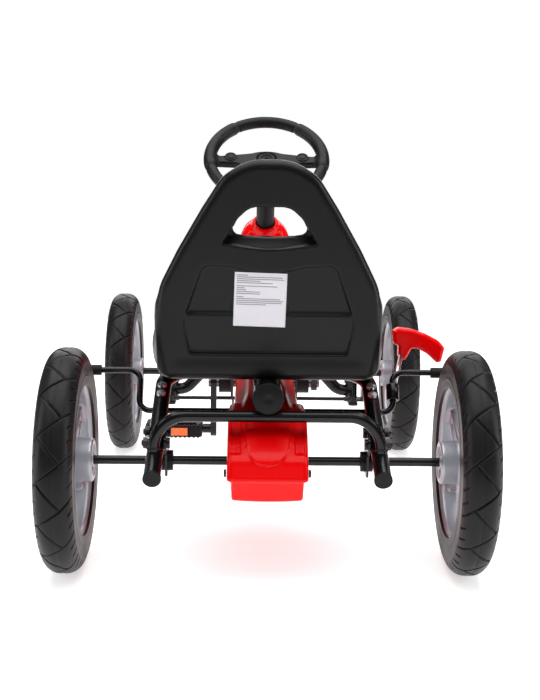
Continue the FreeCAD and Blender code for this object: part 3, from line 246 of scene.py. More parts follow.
def grid_faces(rows, columns, wrap_rows=False, wrap_columns=False):
    """Quads over a rows by columns grid of vertices."""
    faces = []
    for i in range(rows if wrap_rows else rows - 1):
        for j in range(columns if wrap_columns else columns - 1):
            i2, j2 = (i + 1) % rows, (j + 1) % columns
            faces.append((i * columns + j, i * columns + j2, i2 * columns + j2, i2 * columns + j))
    return faces


def lathe(name, profile, centre, axis, steps=64):
    """A closed profile of (along, radius) points, turned about an axis."""
    turn = Vector((0, 0, 1)).rotation_difference(Vector(axis)).to_matrix()
    points = []
    for i in range(steps):
        a = 2 * math.pi * i / steps
        for along, radius in profile:
            points.append(turn @ Vector((radius * math.cos(a), radius * math.sin(a), along)) + Vector(centre))
    return new_mesh(name, points, grid_faces(steps, len(profile), True, True))


def weld_bead(centre, axis, radius, bead, steps=96):
    """A rippled ring of weld round a tube; returns its points and faces."""
    turn = Vector((0, 0, 1)).rotation_difference(Vector(axis).normalized()).to_matrix()
    points = []
    sides = 8
    for i in range(steps):
        a = 2 * math.pi * i / steps
        ripple = 1 + 0.16 * math.sin(a * steps / 5)
        for j in range(sides):
            b = 2 * math.pi * j / sides
            r = radius + bead * ripple * math.cos(b)
            points.append(turn @ Vector((r * math.cos(a), r * math.sin(a), bead * ripple * math.sin(b)))
                          + Vector(centre))
    return [tuple(p) for p in points], grid_faces(steps, sides, True, True)


def merge(parts):
    """Several sets of points and faces as one."""
    points, faces = [], []
    for more_points, more_faces in parts:
        base = len(points)
        points.extend(more_points)
        faces.extend(tuple(base + i for i in face) for face in more_faces)
    return points, faces


# ---- finishes -----------------------------------------------------------------------------


class Finish:
    """Builds one procedural material, node by node."""

    def __init__(self, name, colour, roughness, **sockets):
        self.material = bpy.data.materials.new(name)
        self.material.use_nodes = True
        self.tree = self.material.node_tree
        self.shader = self.tree.nodes["Principled BSDF"]
        self.coordinates = self.tree.nodes.new("ShaderNodeTexCoord").outputs["Object"]
        self.colour = colour
        self.roughness = roughness
        self.shader.inputs["Base Color"].default_value = (*colour, 1)
        self.shader.inputs["Roughness"].default_value = roughness
        for socket, value in sockets.items():
            self.shader.inputs[socket.replace("_", " ")].default_value = value

    def new(self, kind, **inputs):
        made = self.tree.nodes.new("ShaderNode" + kind)
        for socket, value in inputs.items():
            made.inputs[socket.replace("_", " ")].default_value = value
        return made

    def link(self, source, target):
        self.tree.links.new(source, target)

    def noise(self, scale, detail=4.0, roughness=0.55):
        made = self.new("TexNoise", Scale=scale, Detail=detail, Roughness=roughness)
        self.link(self.coordinates, made.inputs["Vector"])
        return made.outputs["Fac"]

    def cells(self, scale):
        made = self.new("TexVoronoi", Scale=scale)
        self.link(self.coordinates, made.inputs["Vector"])
        return made.outputs["Distance"]

    def mottle(self, scale, amount):
        """Lets the colour drift between two close shades."""
        low = [max(c * (1 - amount), 0) for c in self.colour]
        high = [min(c * (1 + amount), 1) for c in self.colour]
        mix = self.tree.nodes.new("ShaderNodeMix")
        mix.data_type = "RGBA"
        self.link(self.noise(scale), mix.inputs[0])
        mix.inputs[6].default_value = (*low, 1)
        mix.inputs[7].default_value = (*high, 1)
        self.link(mix.outputs[2], self.shader.inputs["Base Color"])
        return self

    def paint_shade(self, attribute, shade):
        """Paints shade into the colour where the mesh's attribute is high."""
        source = self.tree.nodes.new("ShaderNodeAttribute")
        source.attribute_name = attribute
        mix = self.tree.nodes.new("ShaderNodeMix")
        mix.data_type = "RGBA"
        base = self.shader.inputs["Base Color"]
        self.link(source.outputs["Fac"], mix.inputs[0])
        self.link(base.links[0].from_socket, mix.inputs[6])
        mix.inputs[7].default_value = (*(c * shade for c in self.colour), 1)
        self.link(mix.outputs[2], base)
        return self

    def scuff(self, scale, amount):
        """Lets the gloss vary, as handling and dust leave it."""
        spread = self.new("MapRange")
        spread.inputs["From Min"].default_value = 0.3
        spread.inputs["From Max"].default_value = 0.7
        spread.inputs["To Min"].default_value = self.roughness - amount
        spread.inputs["To Max"].default_value = self.roughness + amount
        self.link(self.noise(scale, 6.0), spread.inputs["Value"])
        self.link(spread.outputs["Result"], self.shader.inputs["Roughness"])
        return self

    def grain(self, scale, strength, distance=0.0002, cellular=False):
        """A fine bump over the whole surface."""
        bump = self.new("Bump", Strength=strength, Distance=distance)
        height = self.cells(scale) if cellular else self.noise(scale, 3.0)
        self.link(height, bump.inputs["Height"])
        normal = self.shader.inputs["Normal"]
        if normal.links:
            self.link(normal.links[0].from_socket, bump.inputs["Normal"])
        self.link(bump.outputs["Normal"], normal)
        return self


def make_finishes():
    """Every finish on the kart, by name."""
    coated = {"Coat_Weight": 0.15, "Coat_Roughness": 0.06, "Specular_IOR_Level": 0.25}
    made = {
        "seat": Finish("seat_plastic", (0.0042, 0.0043, 0.0048), 0.36, Specular_IOR_Level=0.2)
        .mottle(9, 0.18).scuff(14, 0.05).grain(1500, 0.22).grain(60, 0.03, 0.0006),
        "paint": Finish("black_powder_coat", (0.0038, 0.0038, 0.0042), 0.24, **coated)
        .mottle(20, 0.25).scuff(25, 0.06).grain(380, 0.10, 0.00015),
        "black": Finish("black_moulding", (0.006, 0.006, 0.0066), 0.48, Specular_IOR_Level=0.18)
        .mottle(30, 0.2).scuff(40, 0.07).grain(1300, 0.3),
        "red": Finish("red_moulding", (0.84, 0.001, 0.002), 0.2, Specular_IOR_Level=0.12,
                      Coat_Weight=0.06, Coat_Roughness=0.05)
        .mottle(7, 0.05).scuff(18, 0.04).grain(500, 0.04, 0.0001),
        # The tyre's colour carries painted shade in its tread grooves, read from the mesh's groove attribute.
        "tyre": Finish("tyre_rubber", (0.0085, 0.0080, 0.0092), 0.4, Specular_IOR_Level=0.18)
        .mottle(35, 0.3).paint_shade("groove", 0.2).scuff(16, 0.08).grain(900, 0.35).grain(120, 0.06, 0.0004),
        "sleeve": Finish("sleeve_rubber", (0.007, 0.007, 0.007), 0.62, Specular_IOR_Level=0.25)
        .mottle(60, 0.3).scuff(60, 0.08).grain(1600, 0.4),
        "rim": Finish("rim_moulding", (0.42, 0.43, 0.47), 0.36, Metallic=0.55)
        .mottle(14, 0.1).scuff(20, 0.07).grain(1700, 0.12),
        "steel": Finish("zinc_plate", (0.62, 0.62, 0.65), 0.28, Metallic=1.0)
        .mottle(80, 0.12).scuff(120, 0.09).grain(700, 0.12, 0.0001),
        "chain": Finish("oiled_steel", (0.16, 0.15, 0.14), 0.36, Metallic=1.0)
        .mottle(90, 0.35).scuff(110, 0.1).grain(600, 0.15, 0.0001),
        "lens": Finish("amber_lens", (0.93, 0.16, 0.012), 0.16, Coat_Weight=0.7, Coat_Roughness=0.04)
        .mottle(300, 0.2).scuff(60, 0.05).grain(420, 0.8, 0.0005, cellular=True),
        "wheel": Finish("wheel_moulding", (0.0062, 0.0062, 0.007), 0.42, Specular_IOR_Level=0.2)
        .mottle(26, 0.2).scuff(35, 0.06).grain(800, 0.4, 0.0002, cellular=True),
        "paper": Finish("plain_sticker", (0.80, 0.77, 0.83), 0.42)
        .mottle(40, 0.03).scuff(50, 0.05).grain(700, 0.05),
        "print": Finish("grey_print", (0.30, 0.29, 0.32), 0.5)
        .mottle(120, 0.1).scuff(90, 0.05).grain(700, 0.05),
        "brass": Finish("valve_brass", (0.55, 0.42, 0.2), 0.32, Metallic=1.0)
        .mottle(100, 0.2).scuff(120, 0.08).grain(900, 0.1, 0.0001),
    }
    return {name: finish.material for name, finish in made.items()}


FINISHES = make_finishes()
SLOT_FINISH = {
    "frame_paint": "paint",
    "black_plastic": "black",
    "bright_steel": "steel",
    "chain_steel": "chain",
    "red_plastic": "red",
    "tyre_rubber": "tyre",
    "sleeve_rubber": "sleeve",
    "rim_plastic": "rim",
    "reflector": "lens",
    "wheel_plastic": "wheel",
    "seat_plastic": "seat",
}


def paint_cad_nodes():
    """Gives each CAD node its slot's finish, and smooth shading that keeps its edges."""
    slots = {row["node"]: row["material_slot"] for row in frame["record"]["subparts"]}
    for name, item in frame["nodes"].items():
        item.data.materials.clear()
        item.data.materials.append(FINISHES[SLOT_FINISH[slots[name]]])
        bevel = item.modifiers.new("Edges", "BEVEL")
        bevel.width = 0.0006
        bevel.segments = 2
        bevel.limit_method = "ANGLE"
        bevel.angle_limit = math.radians(35)
        bevel.harden_normals = True


# ---- seat ---------------------------------------------------------------------------------

SEAT_FOOT = (-405.0, 268.6)
LEAN = math.radians(9)
BACK_OUTLINE = Outline([
    (-137, -3, 14), (137, -3, 14), (146, 62, 200), (142, 116, 70), (117, 166, 150), (86, 220, 150),
    (60, 261, 50), (27, 281, 60), (-27, 281, 60), (-60, 261, 50), (-86, 220, 150), (-117, 166, 150),
    (-142, 116, 70), (-146, 62, 200),
])
HAND_HOLE = Outline([
    (-49, 187, 8), (0, 181, 200), (49, 187, 8), (43, 206, 30), (25, 223, 26), (-25, 223, 26),
    (-43, 206, 30),
])
SILL = Outline([(-62, 176, 3), (0, 167, 160), (62, 176, 3), (46, 200, 6), (-46, 200, 6)])
PANEL = Outline([
    (-103, 30, 7), (103, 30, 7), (112, 72, 40), (85, 150, 14), (48, 148, 60), (0, 137, 120),
    (-48, 148, 60), (-85, 150, 14), (-112, 72, 40),
])
PAN_OUTLINE = Outline([
    (-126, -397, 20), (126, -397, 20), (151, -255, 120), (129, -90, 26), (-129, -90, 26),
    (-151, -255, 120),
])
BOLSTER_OUTLINE = Outline([
    (-392, 273, 6), (-133, 273, 10), (-119, 296, 12), (-255, 332, 80), (-350, 360, 60),
    (-404, 372, 10), (-400, 320, 10),
])

# The middle of the sticker: across the back, and up it.
STICKER_AT = (-11.5, 103.0)


def seat_plane(y, z):
    """How far up the back a point is, and how far behind its rear face."""
    dy, dz = y - SEAT_FOOT[0], z - SEAT_FOOT[1]
    up = -math.sin(LEAN) * dy + math.cos(LEAN) * dz
    behind = -math.cos(LEAN) * dy - math.sin(LEAN) * dz
    return up, behind


def back_relief(x, up):
    """How deep the rear face is sunk: two sloping panels, each ending in a ledge."""
    within = step_up(-PANEL(x, up), 0, 2.4)
    upper = 2.4 + 4.4 * np.clip((149 - up) / 65, 0, 1)
    lower = 1.6 + 5.2 * np.clip((84 - up) / 52, 0, 1)
    panel = upper + (lower - upper) * step_up(86 - up, 0, 4)
    sill = np.clip(up - 167, 0, 15.5) * step_up(-SILL(x, up), 0, 1.5)
    label = np.maximum(np.abs(x - STICKER_AT[0]) - 35, np.abs(up - STICKER_AT[1]) - 37)
    return within * (panel + (3.4 - panel) * step_up(-label, -2, 0)) + sill


def seat_field(x, y, z):
    """The moulded seat: back, pan and two side walls run together."""
    up, behind = seat_plane(y, z)
    slab = np.maximum(behind + back_relief(x, up), -24 - behind)
    back = both(BACK_OUTLINE(x, up), slab, 11)
    dish = 4.0 * step_up(118 - np.abs(x), 0, 60) * step_up(up, 30, 90) * step_up(268 - up, 0, 60)
    back = back + dish * step_up(-behind, 14, 22)
    pan = both(PAN_OUTLINE(x, y), np.abs(z - 277.7) - 5.2, 4.5)
    thighs = 2.6 * np.exp(-((np.abs(x) - 62) / 30) ** 2) * step_up(y, -330, -250)
    pan = pan + thighs * step_up(z, 278, 282)
    swell = 0.6 + 0.4 * np.exp(-((z - 300) / 26) ** 2)
    bulge = 15.0 * step_up(y, -405, -320) * swell * step_up(-y, 100, 190)
    wall = both(BOLSTER_OUTLINE(y, z), np.abs(np.abs(x) - 134 - bulge) - 8, 7.5)
    seat = join(join(back, pan, 20), wall, 18)
    return carve(seat, HAND_HOLE(x, up), 2.5)


def rear_face_point(x, up, proud):
    """A point just behind the seat's rear face."""
    behind = proud - float(back_relief(np.array([x]), np.array([up]))[0])
    y = SEAT_FOOT[0] - math.sin(LEAN) * up - math.cos(LEAN) * behind
    z = SEAT_FOOT[1] + math.cos(LEAN) * up - math.sin(LEAN) * behind
    return (x, y, z)


def sticker_sheet(left, right, low, high, proud, thick):
    """A thin sheet laid on the seat's rear face; returns its points and faces."""
    centre, tilt = Vector(STICKER_AT), math.radians(-1.6)
    columns = max(2, int((right - left) / 3) + 1)
    rows = max(2, int((high - low) / 1.5) + 1)
    points = []
    for lift in (proud, proud - thick):
        for up in np.linspace(low, high, rows):
            for x in np.linspace(left, right, columns):
                spot = centre + Matrix.Rotation(tilt, 2) @ Vector((x, up))
                points.append(rear_face_point(spot.x, spot.y, lift))
    top = grid_faces(rows, columns)
    base = rows * columns
    under = [tuple(base + i for i in reversed(face)) for face in top]
    rim = (list(range(columns)) + [(i + 1) * columns - 1 for i in range(1, rows)]
           + [base - 1 - j for j in range(1, columns)]
           + [i * columns for i in range(rows - 2, 0, -1)])
    side = [(a, b, base + b, base + a) for a, b in zip(rim, rim[1:] + rim[:1])]
    return points, top + under + side


def sticker():
    """A plain white sticker with generic grey bars where the real one has print."""
    points, faces = sticker_sheet(-33.5, 33.5, -35.5, 35.5, 0.45, 0.35)
    add_piece("seat_sticker", new_mesh("seat_sticker", points, faces), "seat", FINISHES["paper"])
    bars = []
    up = 32.0
    widths = (14, 58, 60, 30, 46, 52, 10, 12, 30, 30, 9, 56, 60, 58, 38)
    for i, width in enumerate(widths):
        bars.append(sticker_sheet(-30.5, -30.5 + width, up - 0.5, up + 0.5, 0.6, 0.1))
        up -= 2.5 if i % 5 != 4 else 4.2
    points, faces = merge(bars)
    mesh = new_mesh("seat_sticker_bars", points, faces)
    add_piece("seat_sticker_bars", mesh, "seat", FINISHES["print"])


def seat():
    mesh = sculpt("seat_moulding", seat_field, (-166, -466, 262), (166, -78, 556), 2.2)
    add_piece("seat_moulding", mesh, "seat", FINISHES["seat"], ["seat_shell"])
    sticker()


# ---- wheels -------------------------------------------------------------------------------

WHEEL_X = 266.0
WHEEL_Z = 150.0
TYRE_RADIUS = 150
TREAD_REPEATS = 16
TREAD_PITCH = 2 * math.pi * TYRE_RADIUS / TREAD_REPEATS
TREAD_LINES = (
    ((-31, -42), (26, 1)),
    ((-10, 30), (18, -2)),
    ((-31, 35), (-22, 42)),
    ((-31, 55), (-23, 61)),
    ((22, 18), (31, 25)),
    ((23, 38), (31, 44)),
)


def tread_depth(across, along):
    """How deep the tread is cut at a place on the tyre's crown."""
    nearest = np.full(across.shape, 99.0)
    for (ax, ay), (bx, by) in TREAD_LINES:
        dx, dy = bx - ax, by - ay
        for wrap in (-TREAD_PITCH, 0.0, TREAD_PITCH):
            y0 = ay + wrap
            t = np.clip(((across - ax) * dx + (along - y0) * dy) / (dx * dx + dy * dy), 0, 1)
            nearest = np.minimum(nearest, np.hypot(across - ax - t * dx, along - y0 - t * dy))
    cut = 2.2 * (1 - step_up(nearest, 0.5, 1.6))
    seam = 0.7 * (1 - step_up(np.abs(across), 0.2, 1.1))
    return np.maximum(cut, seam)


def tyre_mesh():
    """A tyre about the X axis: round crown with cut tread, ribbed sidewalls, rounded beads."""
    per_repeat = 64
    around = TREAD_REPEATS * per_repeat
    outer = rounded([(-24.2, 101, 0), (-24.5, 128, 60), (-24.5, 150, 20.5), (24.5, 150, 20.5),
                     (24.5, 128, 60), (24.2, 101, 0)], 12)
    lengths = np.concatenate([[0], np.cumsum(np.hypot(*np.diff(outer, axis=0).T))])
    stations = np.linspace(0, lengths[-1], 110)
    x = np.interp(stations, lengths, outer[:, 0])
    r = np.interp(stations, lengths, outer[:, 1])
    across = stations - lengths[-1] / 2
    nx, nr = -np.gradient(r), np.gradient(x)
    norm = np.hypot(nx, nr)
    nx, nr = nx / norm, nr / norm
    ribs = 0.55 * (np.exp(-((r - 112) / 1.4) ** 2) + np.exp(-((r - 131) / 1.2) ** 2))
    points = []
    groove_shade = []
    for i in range(around):
        along = (i % per_repeat) / per_repeat * TREAD_PITCH
        cut = tread_depth(across, np.full(across.shape, along)) * (r > 128)
        lift = ribs * (r < 134) - cut
        a = 2 * math.pi * i / around
        px, pr = x + nx * lift, r + nr * lift
        ring = list(zip(px, pr)) + [(18.0, 100.0), (0.0, 99.6), (-18.0, 100.0)]
        points.extend((u, v * math.sin(a), v * math.cos(a)) for u, v in ring)
        # Each point's tread cut depth, kept as the mask for the painted shade in the grooves.
        groove_shade.extend([*np.clip(cut / 2, 0, 1), 0, 0, 0])
    columns = len(points) // around
    mesh = new_mesh("tyre", points, grid_faces(around, columns, True, True))
    # The mesh's groove attribute holds the mask for the painted shade in the tread.
    mesh.attributes.new("groove", "FLOAT", "POINT").data.foreach_set("value", groove_shade)
    return mesh


def rim_field(hub_radius):
    """A moulded wheel about the X axis, its outer side towards +X."""
    section = Outline([
        (-20.5, 98.5, 1), (-20.5, 105, 1.5), (-17, 105.5, 1.5), (-14.5, 102, 2), (14.5, 102, 2),
        (17, 105.5, 1.5), (20.5, 105, 1.5), (20.5, 98.5, 1), (16, 96, 3), (-16, 96, 3),
    ], 0.5, 12)
    hub = Outline([(-35, -hub_radius, 3), (22, -hub_radius, 3), (22, hub_radius, 3), (-35, hub_radius, 3)],
                  0.5, 12)

    def field(x, y, z):
        r = np.hypot(y, z)
        sector = math.pi / 3
        angle = (np.arctan2(y, z) + sector / 2) % sector - sector / 2
        side, out = r * np.sin(angle), r * np.cos(angle)
        width = 14.5 - 0.035 * (out - 40)
        spoke = both(np.abs(side) - width, np.abs(x) - 8.0, 4)
        groove = both(np.abs(side) - width * 0.45, 4.0 - np.abs(x), 1.5)
        groove = both(groove, np.abs(out - 62) - 20, 4)
        spoke = both(carve(spoke, groove, 1.5), out - 100, 0)
        spoke = both(spoke, -out, 0)
        barrel = hub(x, r)
        recess = both(np.abs(r - 15.5) - 5.5, x + 31.0, 1)
        solid = join(join(section(x, r), spoke, 7), barrel, 6)
        solid = carve(solid, recess, 1.0)
        return carve(solid, r - 6.3, 0.8)

    return field


def valve(name, body, y, side):
    """A tyre valve standing on the rim's outer side."""
    profile = [(0, 0.01), (0, 3.0), (8, 3.0), (9, 2.2), (20, 2.2), (21, 1.6), (27, 1.6), (27.5, 0.01)]
    foot = ((WHEEL_X + 6) * side, y, WHEEL_Z + 92)
    mesh = lathe(name, profile, foot, (0.75 * side, 0, -0.66), 24)
    add_piece(name, mesh, body, FINISHES["brass"])


def wheels():
    """Tyres and rims; the left-hand ones are the same mould turned round."""
    tyre = tyre_mesh()
    tyre.materials.append(FINISHES["tyre"])
    for axle, y, hub_radius in (("rear", -375.0, 29.0), ("front", 375.0, 25.0)):
        rim = sculpt(f"{axle}_rim", rim_field(hub_radius), (-38, -109, -109), (25, 109, 109), 1.9)
        rim.materials.append(FINISHES["rim"])
        for side, hand in ((-1, "left"), (1, "right")):
            body = "rear_axle" if axle == "rear" else f"front_wheel_{hand}"
            for kind, mesh in (("tyre", tyre), ("rim", rim)):
                node = f"{axle}_{kind}_{hand}"
                piece = bpy.data.objects.new(f"{node}_moulding", mesh)
                bpy.context.scene.collection.objects.link(piece)
                piece.location = Vector((WHEEL_X * side, y, WHEEL_Z)) * MM
                piece.rotation_euler = (0, 0, 0 if side > 0 else math.pi)
                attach(piece, body)
                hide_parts(node)
            valve(f"{axle}_valve_{hand}", body, y, side)


# ---- body panels --------------------------------------------------------------------------

COVER_REAR = Outline([(-474, 147, 8), (-440, 107, 14), (-303, 108, 6), (-303, 216, 6),
                      (-408, 213, 16), (-461, 172, 40)])
COVER_LONG = Outline([(-471, 146, 8), (-437, 108, 14), (105, 126, 14), (137, 150, 14),
                      (137, 205, 14), (125, 226.5, 14), (-255, 221, 60), (-408, 211, 16), (-459, 171, 40)])
TONGUE = Outline([(-29, 163, 28.5), (29, 163, 28.5), (29, 300, 0), (-29, 300, 0)])
CHEEK = Outline([(34, 176, 2.5), (48, 176, 2.5), (48, 300, 0), (34, 300, 0)])


def cover_solid(x, y, z):
    """The outside of the chain cover."""
    wide = both(COVER_REAR(y, z), np.abs(x) - 53, 9)
    step = 1 - step_up(z, 143.5, 145.5)
    wide = both(wide, np.abs(x) - 53 + 5 * step, 3) + 1.8 * step * step_up(-y, 400, 420)
    wide = both(wide, 107 + 0.0018 * x * x - z, 7)
    slim = both(COVER_LONG(y, z), np.abs(x) - 46, 11)
    shoulder = 0.707 * (np.abs(x) + z) - 177
    slim = both(both(slim, shoulder, 4), -390 - y, 0)
    tail = step_up(-y, 400, 412)
    cover = join(wide, slim, 1)
    relief = -2.6 * step_up(-TONGUE(x, z), 0, 2) + 2.4 * step_up(-CHEEK(np.abs(x), z), 0, 1.8)
    seam = 0.7 * (1 - step_up(np.abs(x), 0.3, 1.2)) * (1 - step_up(-y, 380, 400))
    panel = 1.6 * step_up(-np.maximum(np.abs(y + 90) - 170, np.abs(z - 168) - 26), 0, 3)
    panel = panel * step_up(np.abs(x), 41, 44)
    return cover + relief * tail + seam + panel


def cover_field(x, y, z):
    """The cover as a thin shell, with its holes for the axle, the cranks and the brake bar."""
    outside = cover_solid(x, y, z)
    shell = both(outside, -(outside + 4.2), 0)
    for hole_y, hole_z, radius in ((-375, 150, 9.5), (75, 180, 11.5), (-275, 198, 6.5)):
        shell = carve(shell, np.hypot(y - hole_y, z - hole_z) - radius, 1.0)
    return shell


# The steering wheel's middle, and how far its column leans back from upright.
WHEEL_CENTRE = (0, 25, 555)
COLUMN_TILT = math.radians(42)

NOSE_HEIGHTS = (166, 240, 300, 370, 425, 459)
NOSE_REAR = (264, 247, 205, 155, 112, 135)
NOSE_FRONT = (513, 476, 410, 330, 265, 217)
NOSE_HALF = (101, 92, 78, 58, 42, 26)


def smooth_value(z, heights, values):
    """A value that changes smoothly with height, through the given ones."""
    spread = 9.0
    return sum(np.interp(z + d * spread, heights, values) for d in (-1, 0, 1)) / 3


def nose_solid(x, y, z):
    """The outside of the nose fairing."""
    rear = smooth_value(z, NOSE_HEIGHTS, NOSE_REAR)
    front = smooth_value(z, NOSE_HEIGHTS, NOSE_FRONT)
    half = smooth_value(z, NOSE_HEIGHTS, NOSE_HALF)
    radius = half * 0.62
    middle, depth = (rear + front) / 2, (front - rear) / 2
    qx = np.abs(x) - half + radius
    qy = np.abs(y - middle) - depth + radius
    ring = np.hypot(np.maximum(qx, 0), np.maximum(qy, 0)) + np.minimum(np.maximum(qx, qy), 0) - radius
    body = both(ring * 0.75, z - 456, 18)
    brow_edge = np.maximum(np.abs(x) - half * 0.52, np.abs(z - 300) - 62)
    brow = 2.2 * step_up(-brow_edge, 0, 4) * step_up(y, middle + 20, middle + 60)
    flank_edge = np.maximum(np.abs(y - middle) - depth * 0.5, np.abs(z - 235) - 34)
    flank = 1.8 * step_up(-flank_edge, 0, 5)
    return both(body + brow + flank * step_up(np.abs(x), half - 14, half - 6), 168.5 - z, 2)


def nose_field(x, y, z):
    """The fairing as a shell, open below, cut for the beam and the steering column."""
    outside = nose_solid(x, y, z)
    shell = carve(outside, nose_solid(x, y, np.maximum(z, 190)) + 7, 0.8)
    notch = box_field(x, y, z, (0, 255, 208), (20.5, 72, 60), 6)
    shell = carve(shell, notch, 1.2)
    dy, dz = y - WHEEL_CENTRE[1], z - WHEEL_CENTRE[2]
    across = dy * math.cos(COLUMN_TILT) + dz * math.sin(COLUMN_TILT)
    along = dz * math.cos(COLUMN_TILT) - dy * math.sin(COLUMN_TILT)
    collar = both(np.hypot(x, across) - 22.5, np.abs(along + 158) - 17, 3)
    shell = join(shell, collar, 4)
    shell = carve(shell, box_field(x, y, z, (0, 120, 403), (12.8, 45, 24), 3), 1.0)
    return carve(shell, both(np.hypot(x, across) - 15.8, 360 - z, 0), 1.0)


def body_panels():
    mesh = sculpt("chain_cover", cover_field, (-54, -480, 102), (54, 142, 228), 2.0)
    add_piece("chain_cover_moulding", mesh, "frame", FINISHES["red"],
              ["chain_cover_left", "chain_cover_right"])
    mesh = sculpt("nose_moulding", nose_field, (-106, 88, 162), (106, 518, 466), 2.4)
    add_piece("nose_moulding", mesh, "frame", FINISHES["red"], ["nose_fairing", "nose_collar"])


# ---- controls -----------------------------------------------------------------------------

HANDLE = Outline([
    (185, 305, 4), (193, 310, 8), (212, 308, 40), (233, 301, 40), (253, 291, 14), (262, 281, 6),
    (257, 260, 3), (250, 259, 3), (236, 272, 20), (221, 280, 10), (213, 280, 6), (207, 268, 4),
    (203, 262, 3), (194, 266, 3), (194, 284, 4), (187, 286, 3),
], 0.5, 12)


def handle_field(x, y, z):
    grip = both(HANDLE(x, z), np.abs(y + 195) - 12, 5.5)
    rod_hole = np.hypot(x - 200, y + 195) - 5.2
    closed_above = 100 * (z > 280)
    return carve(grip, rod_hole + closed_above, 0.5)


SPOKE_PLATE = Outline([
    (-89, -8, 3), (-89, 6, 3), (-55, 10, 40), (0, 18, 160), (55, 10, 40), (89, 6, 3), (89, -8, 3),
    (48, -10, 20), (31, -24, 12), (26, -40, 8), (-26, -40, 8), (-31, -24, 12), (-48, -10, 20),
], 0.5, 12)


def wheel_field(x, v, w):
    """The steering wheel about the third axis: v is up its face, w out of it towards the driver."""
    r = np.hypot(x, v)
    bearing = np.degrees(np.arctan2(np.abs(x), v))
    grip = 9.3 + 1.1 * step_up(bearing, 30, 38) * step_up(-bearing, -108, -98)
    rim = np.hypot(r - 91.5, w) - grip
    ridge = sum(0.5 * (1 - step_up(np.abs(bearing - at), 1, 2.5)) for at in (33, 105))
    rim = rim + 1.6 * ridge
    bar = both(SPOKE_PLATE(x, v), np.abs(w + 6) - 6.5, 2.5)
    hub = both(r - 24, np.abs(w + 13) - 10.5, 5)
    spoke = capsule_field(np.abs(x), v, w * 1.3, (12, -14, -12), (37, -82, -4), 9)
    wheel = join(join(rim, bar, 7), join(hub, spoke, 8), 8)
    for cap_x in (-58, 58):
        ring = np.hypot(x - cap_x, v - 4)
        wheel = join(wheel, both(ring - 9.5, np.abs(w) - 2.4, 1), 0.8)
        wheel = carve(wheel, both(np.abs(ring - 6.2) - 0.8, 1 - w, 0), 0.3)
    wheel = carve(wheel, both(r - 15.8, -1.5 - w, 0), 0.4)
    return carve(wheel, both(r - 11.2, w + 3, 0), 0.5)


def brake_rod():
    """The lever's thin bright rod and its dark clamp on the brake bar."""
    lean = math.radians(60.3)
    step = Vector((0, math.cos(lean), math.sin(lean)))
    pivot = Vector((180, -275, 198))
    foot, top = pivot + step * 30, Vector((200, -197, 276))
    axis = (top - foot).normalized()
    reach = (top - foot).length
    rod = [(-4, 0.01), (-4, 3.4), (reach, 3.4), (reach, 0.01)]
    mesh = lathe("brake_rod", rod, foot, axis, 24)
    add_piece("brake_rod", mesh, "hand_brake", FINISHES["steel"], ["brake_lever"])
    clamp = [(18, 5.2), (18, 8), (19, 9), (41, 9), (42, 8), (42, 5.2)]
    mesh = lathe("brake_clamp", clamp, pivot, step, 32)
    add_piece("brake_clamp", mesh, "hand_brake", FINISHES["paint"])


def wheel_cap():
    """The disc in the middle of the wheel."""
    profile = [(-6, 0.01), (-6, 15), (-0.6, 15), (0.2, 13.8), (0.7, 8), (0.8, 0.01)]
    axis = (0, -math.sin(COLUMN_TILT), math.cos(COLUMN_TILT))
    mesh = lathe("wheel_cap", profile, WHEEL_CENTRE, axis, 48)
    add_piece("steering_wheel_disc", mesh, "steering", FINISHES["black"], ["steering_wheel_cap"])


def place_by(mesh, centre, tilt=0.0):
    """Tilts a mesh about X and moves it to its place in the kart's frame."""
    mesh.transform(Matrix.Translation(Vector(centre) * MM) @ Matrix.Rotation(tilt, 4, "X"))


def controls():
    mesh = sculpt("brake_handle", handle_field, (180, -212, 256), (266, -178, 315), 1.3)
    add_piece("brake_handle_moulding", mesh, "hand_brake", FINISHES["red"], ["brake_handle"])
    mesh = sculpt("steering_wheel", wheel_field, (-104, -104, -24), (104, 104, 13), 1.6)
    place_by(mesh, WHEEL_CENTRE, COLUMN_TILT)
    add_piece("steering_wheel_moulding", mesh, "steering", FINISHES["wheel"], ["steering_wheel"])
    wheel_cap()
    brake_rod()


PEDAL_FRAME = Outline([(-47.5, -30, 6), (47.5, -30, 6), (47.5, 30, 6), (-47.5, 30, 6)], 0.5, 10)


def pedal_field(x, y, z):
    """A cage pedal with toothed edges, its pin's hole along X."""
    teeth = 2.2 * np.abs(((x / 7.5) % 1) - 0.5) * 2 * step_up(np.abs(y), 17, 22)
    body = both(PEDAL_FRAME(x, y), np.abs(z) - 11.4 + teeth, 1.6)
    for centre_x in (-21.5, 21.5):
        for centre_y in (-16, 16):
            window = box_field(x, y, z, (centre_x, centre_y, 0), (16, 7, 40), 3)
            body = carve(body, window, 1.0)
    seat = box_field(x, np.abs(y), z, (0, 32, 0), (24.5, 3.5, 7.3), 1)
    body = carve(body, seat, 0.6)
    return carve(body, np.hypot(y, z) - 5.3, 0.5)


def pedals():
    cage = sculpt("pedal", pedal_field, (-49, -32, -13), (49, 32, 13), 1.3)
    for side, hand, height in ((-1, "left", 100), (1, "right", 260)):
        mesh = cage.copy()
        mesh.materials.append(FINISHES["black"])
        place_by(mesh, (151.5 * side, 75, height))
        add_piece(f"pedal_{hand}_moulding", mesh, f"pedal_{hand}", FINISHES["black"], [f"pedal_{hand}"])


# ---- frame details ------------------------------------------------------------------------


def welds():
    """Weld beads where tubes meet on the frame."""
    slope = math.radians(21.9)
    beads = []
    for side in (-1, 1):
        foot = 150 + (472 - 431) * math.tan(slope)
        beads.append(weld_bead((147 * side, -431, foot + 11.5), (0, 0.35, 1), 7.6, 1.5))
        beads.append(weld_bead((19.5 * side, -229.5, 248), (1, 0, 0), 10.9, 1.4))
    points, faces = merge(beads)
    add_piece("weld_beads", new_mesh("weld_beads", points, faces), "frame", FINISHES["paint"])


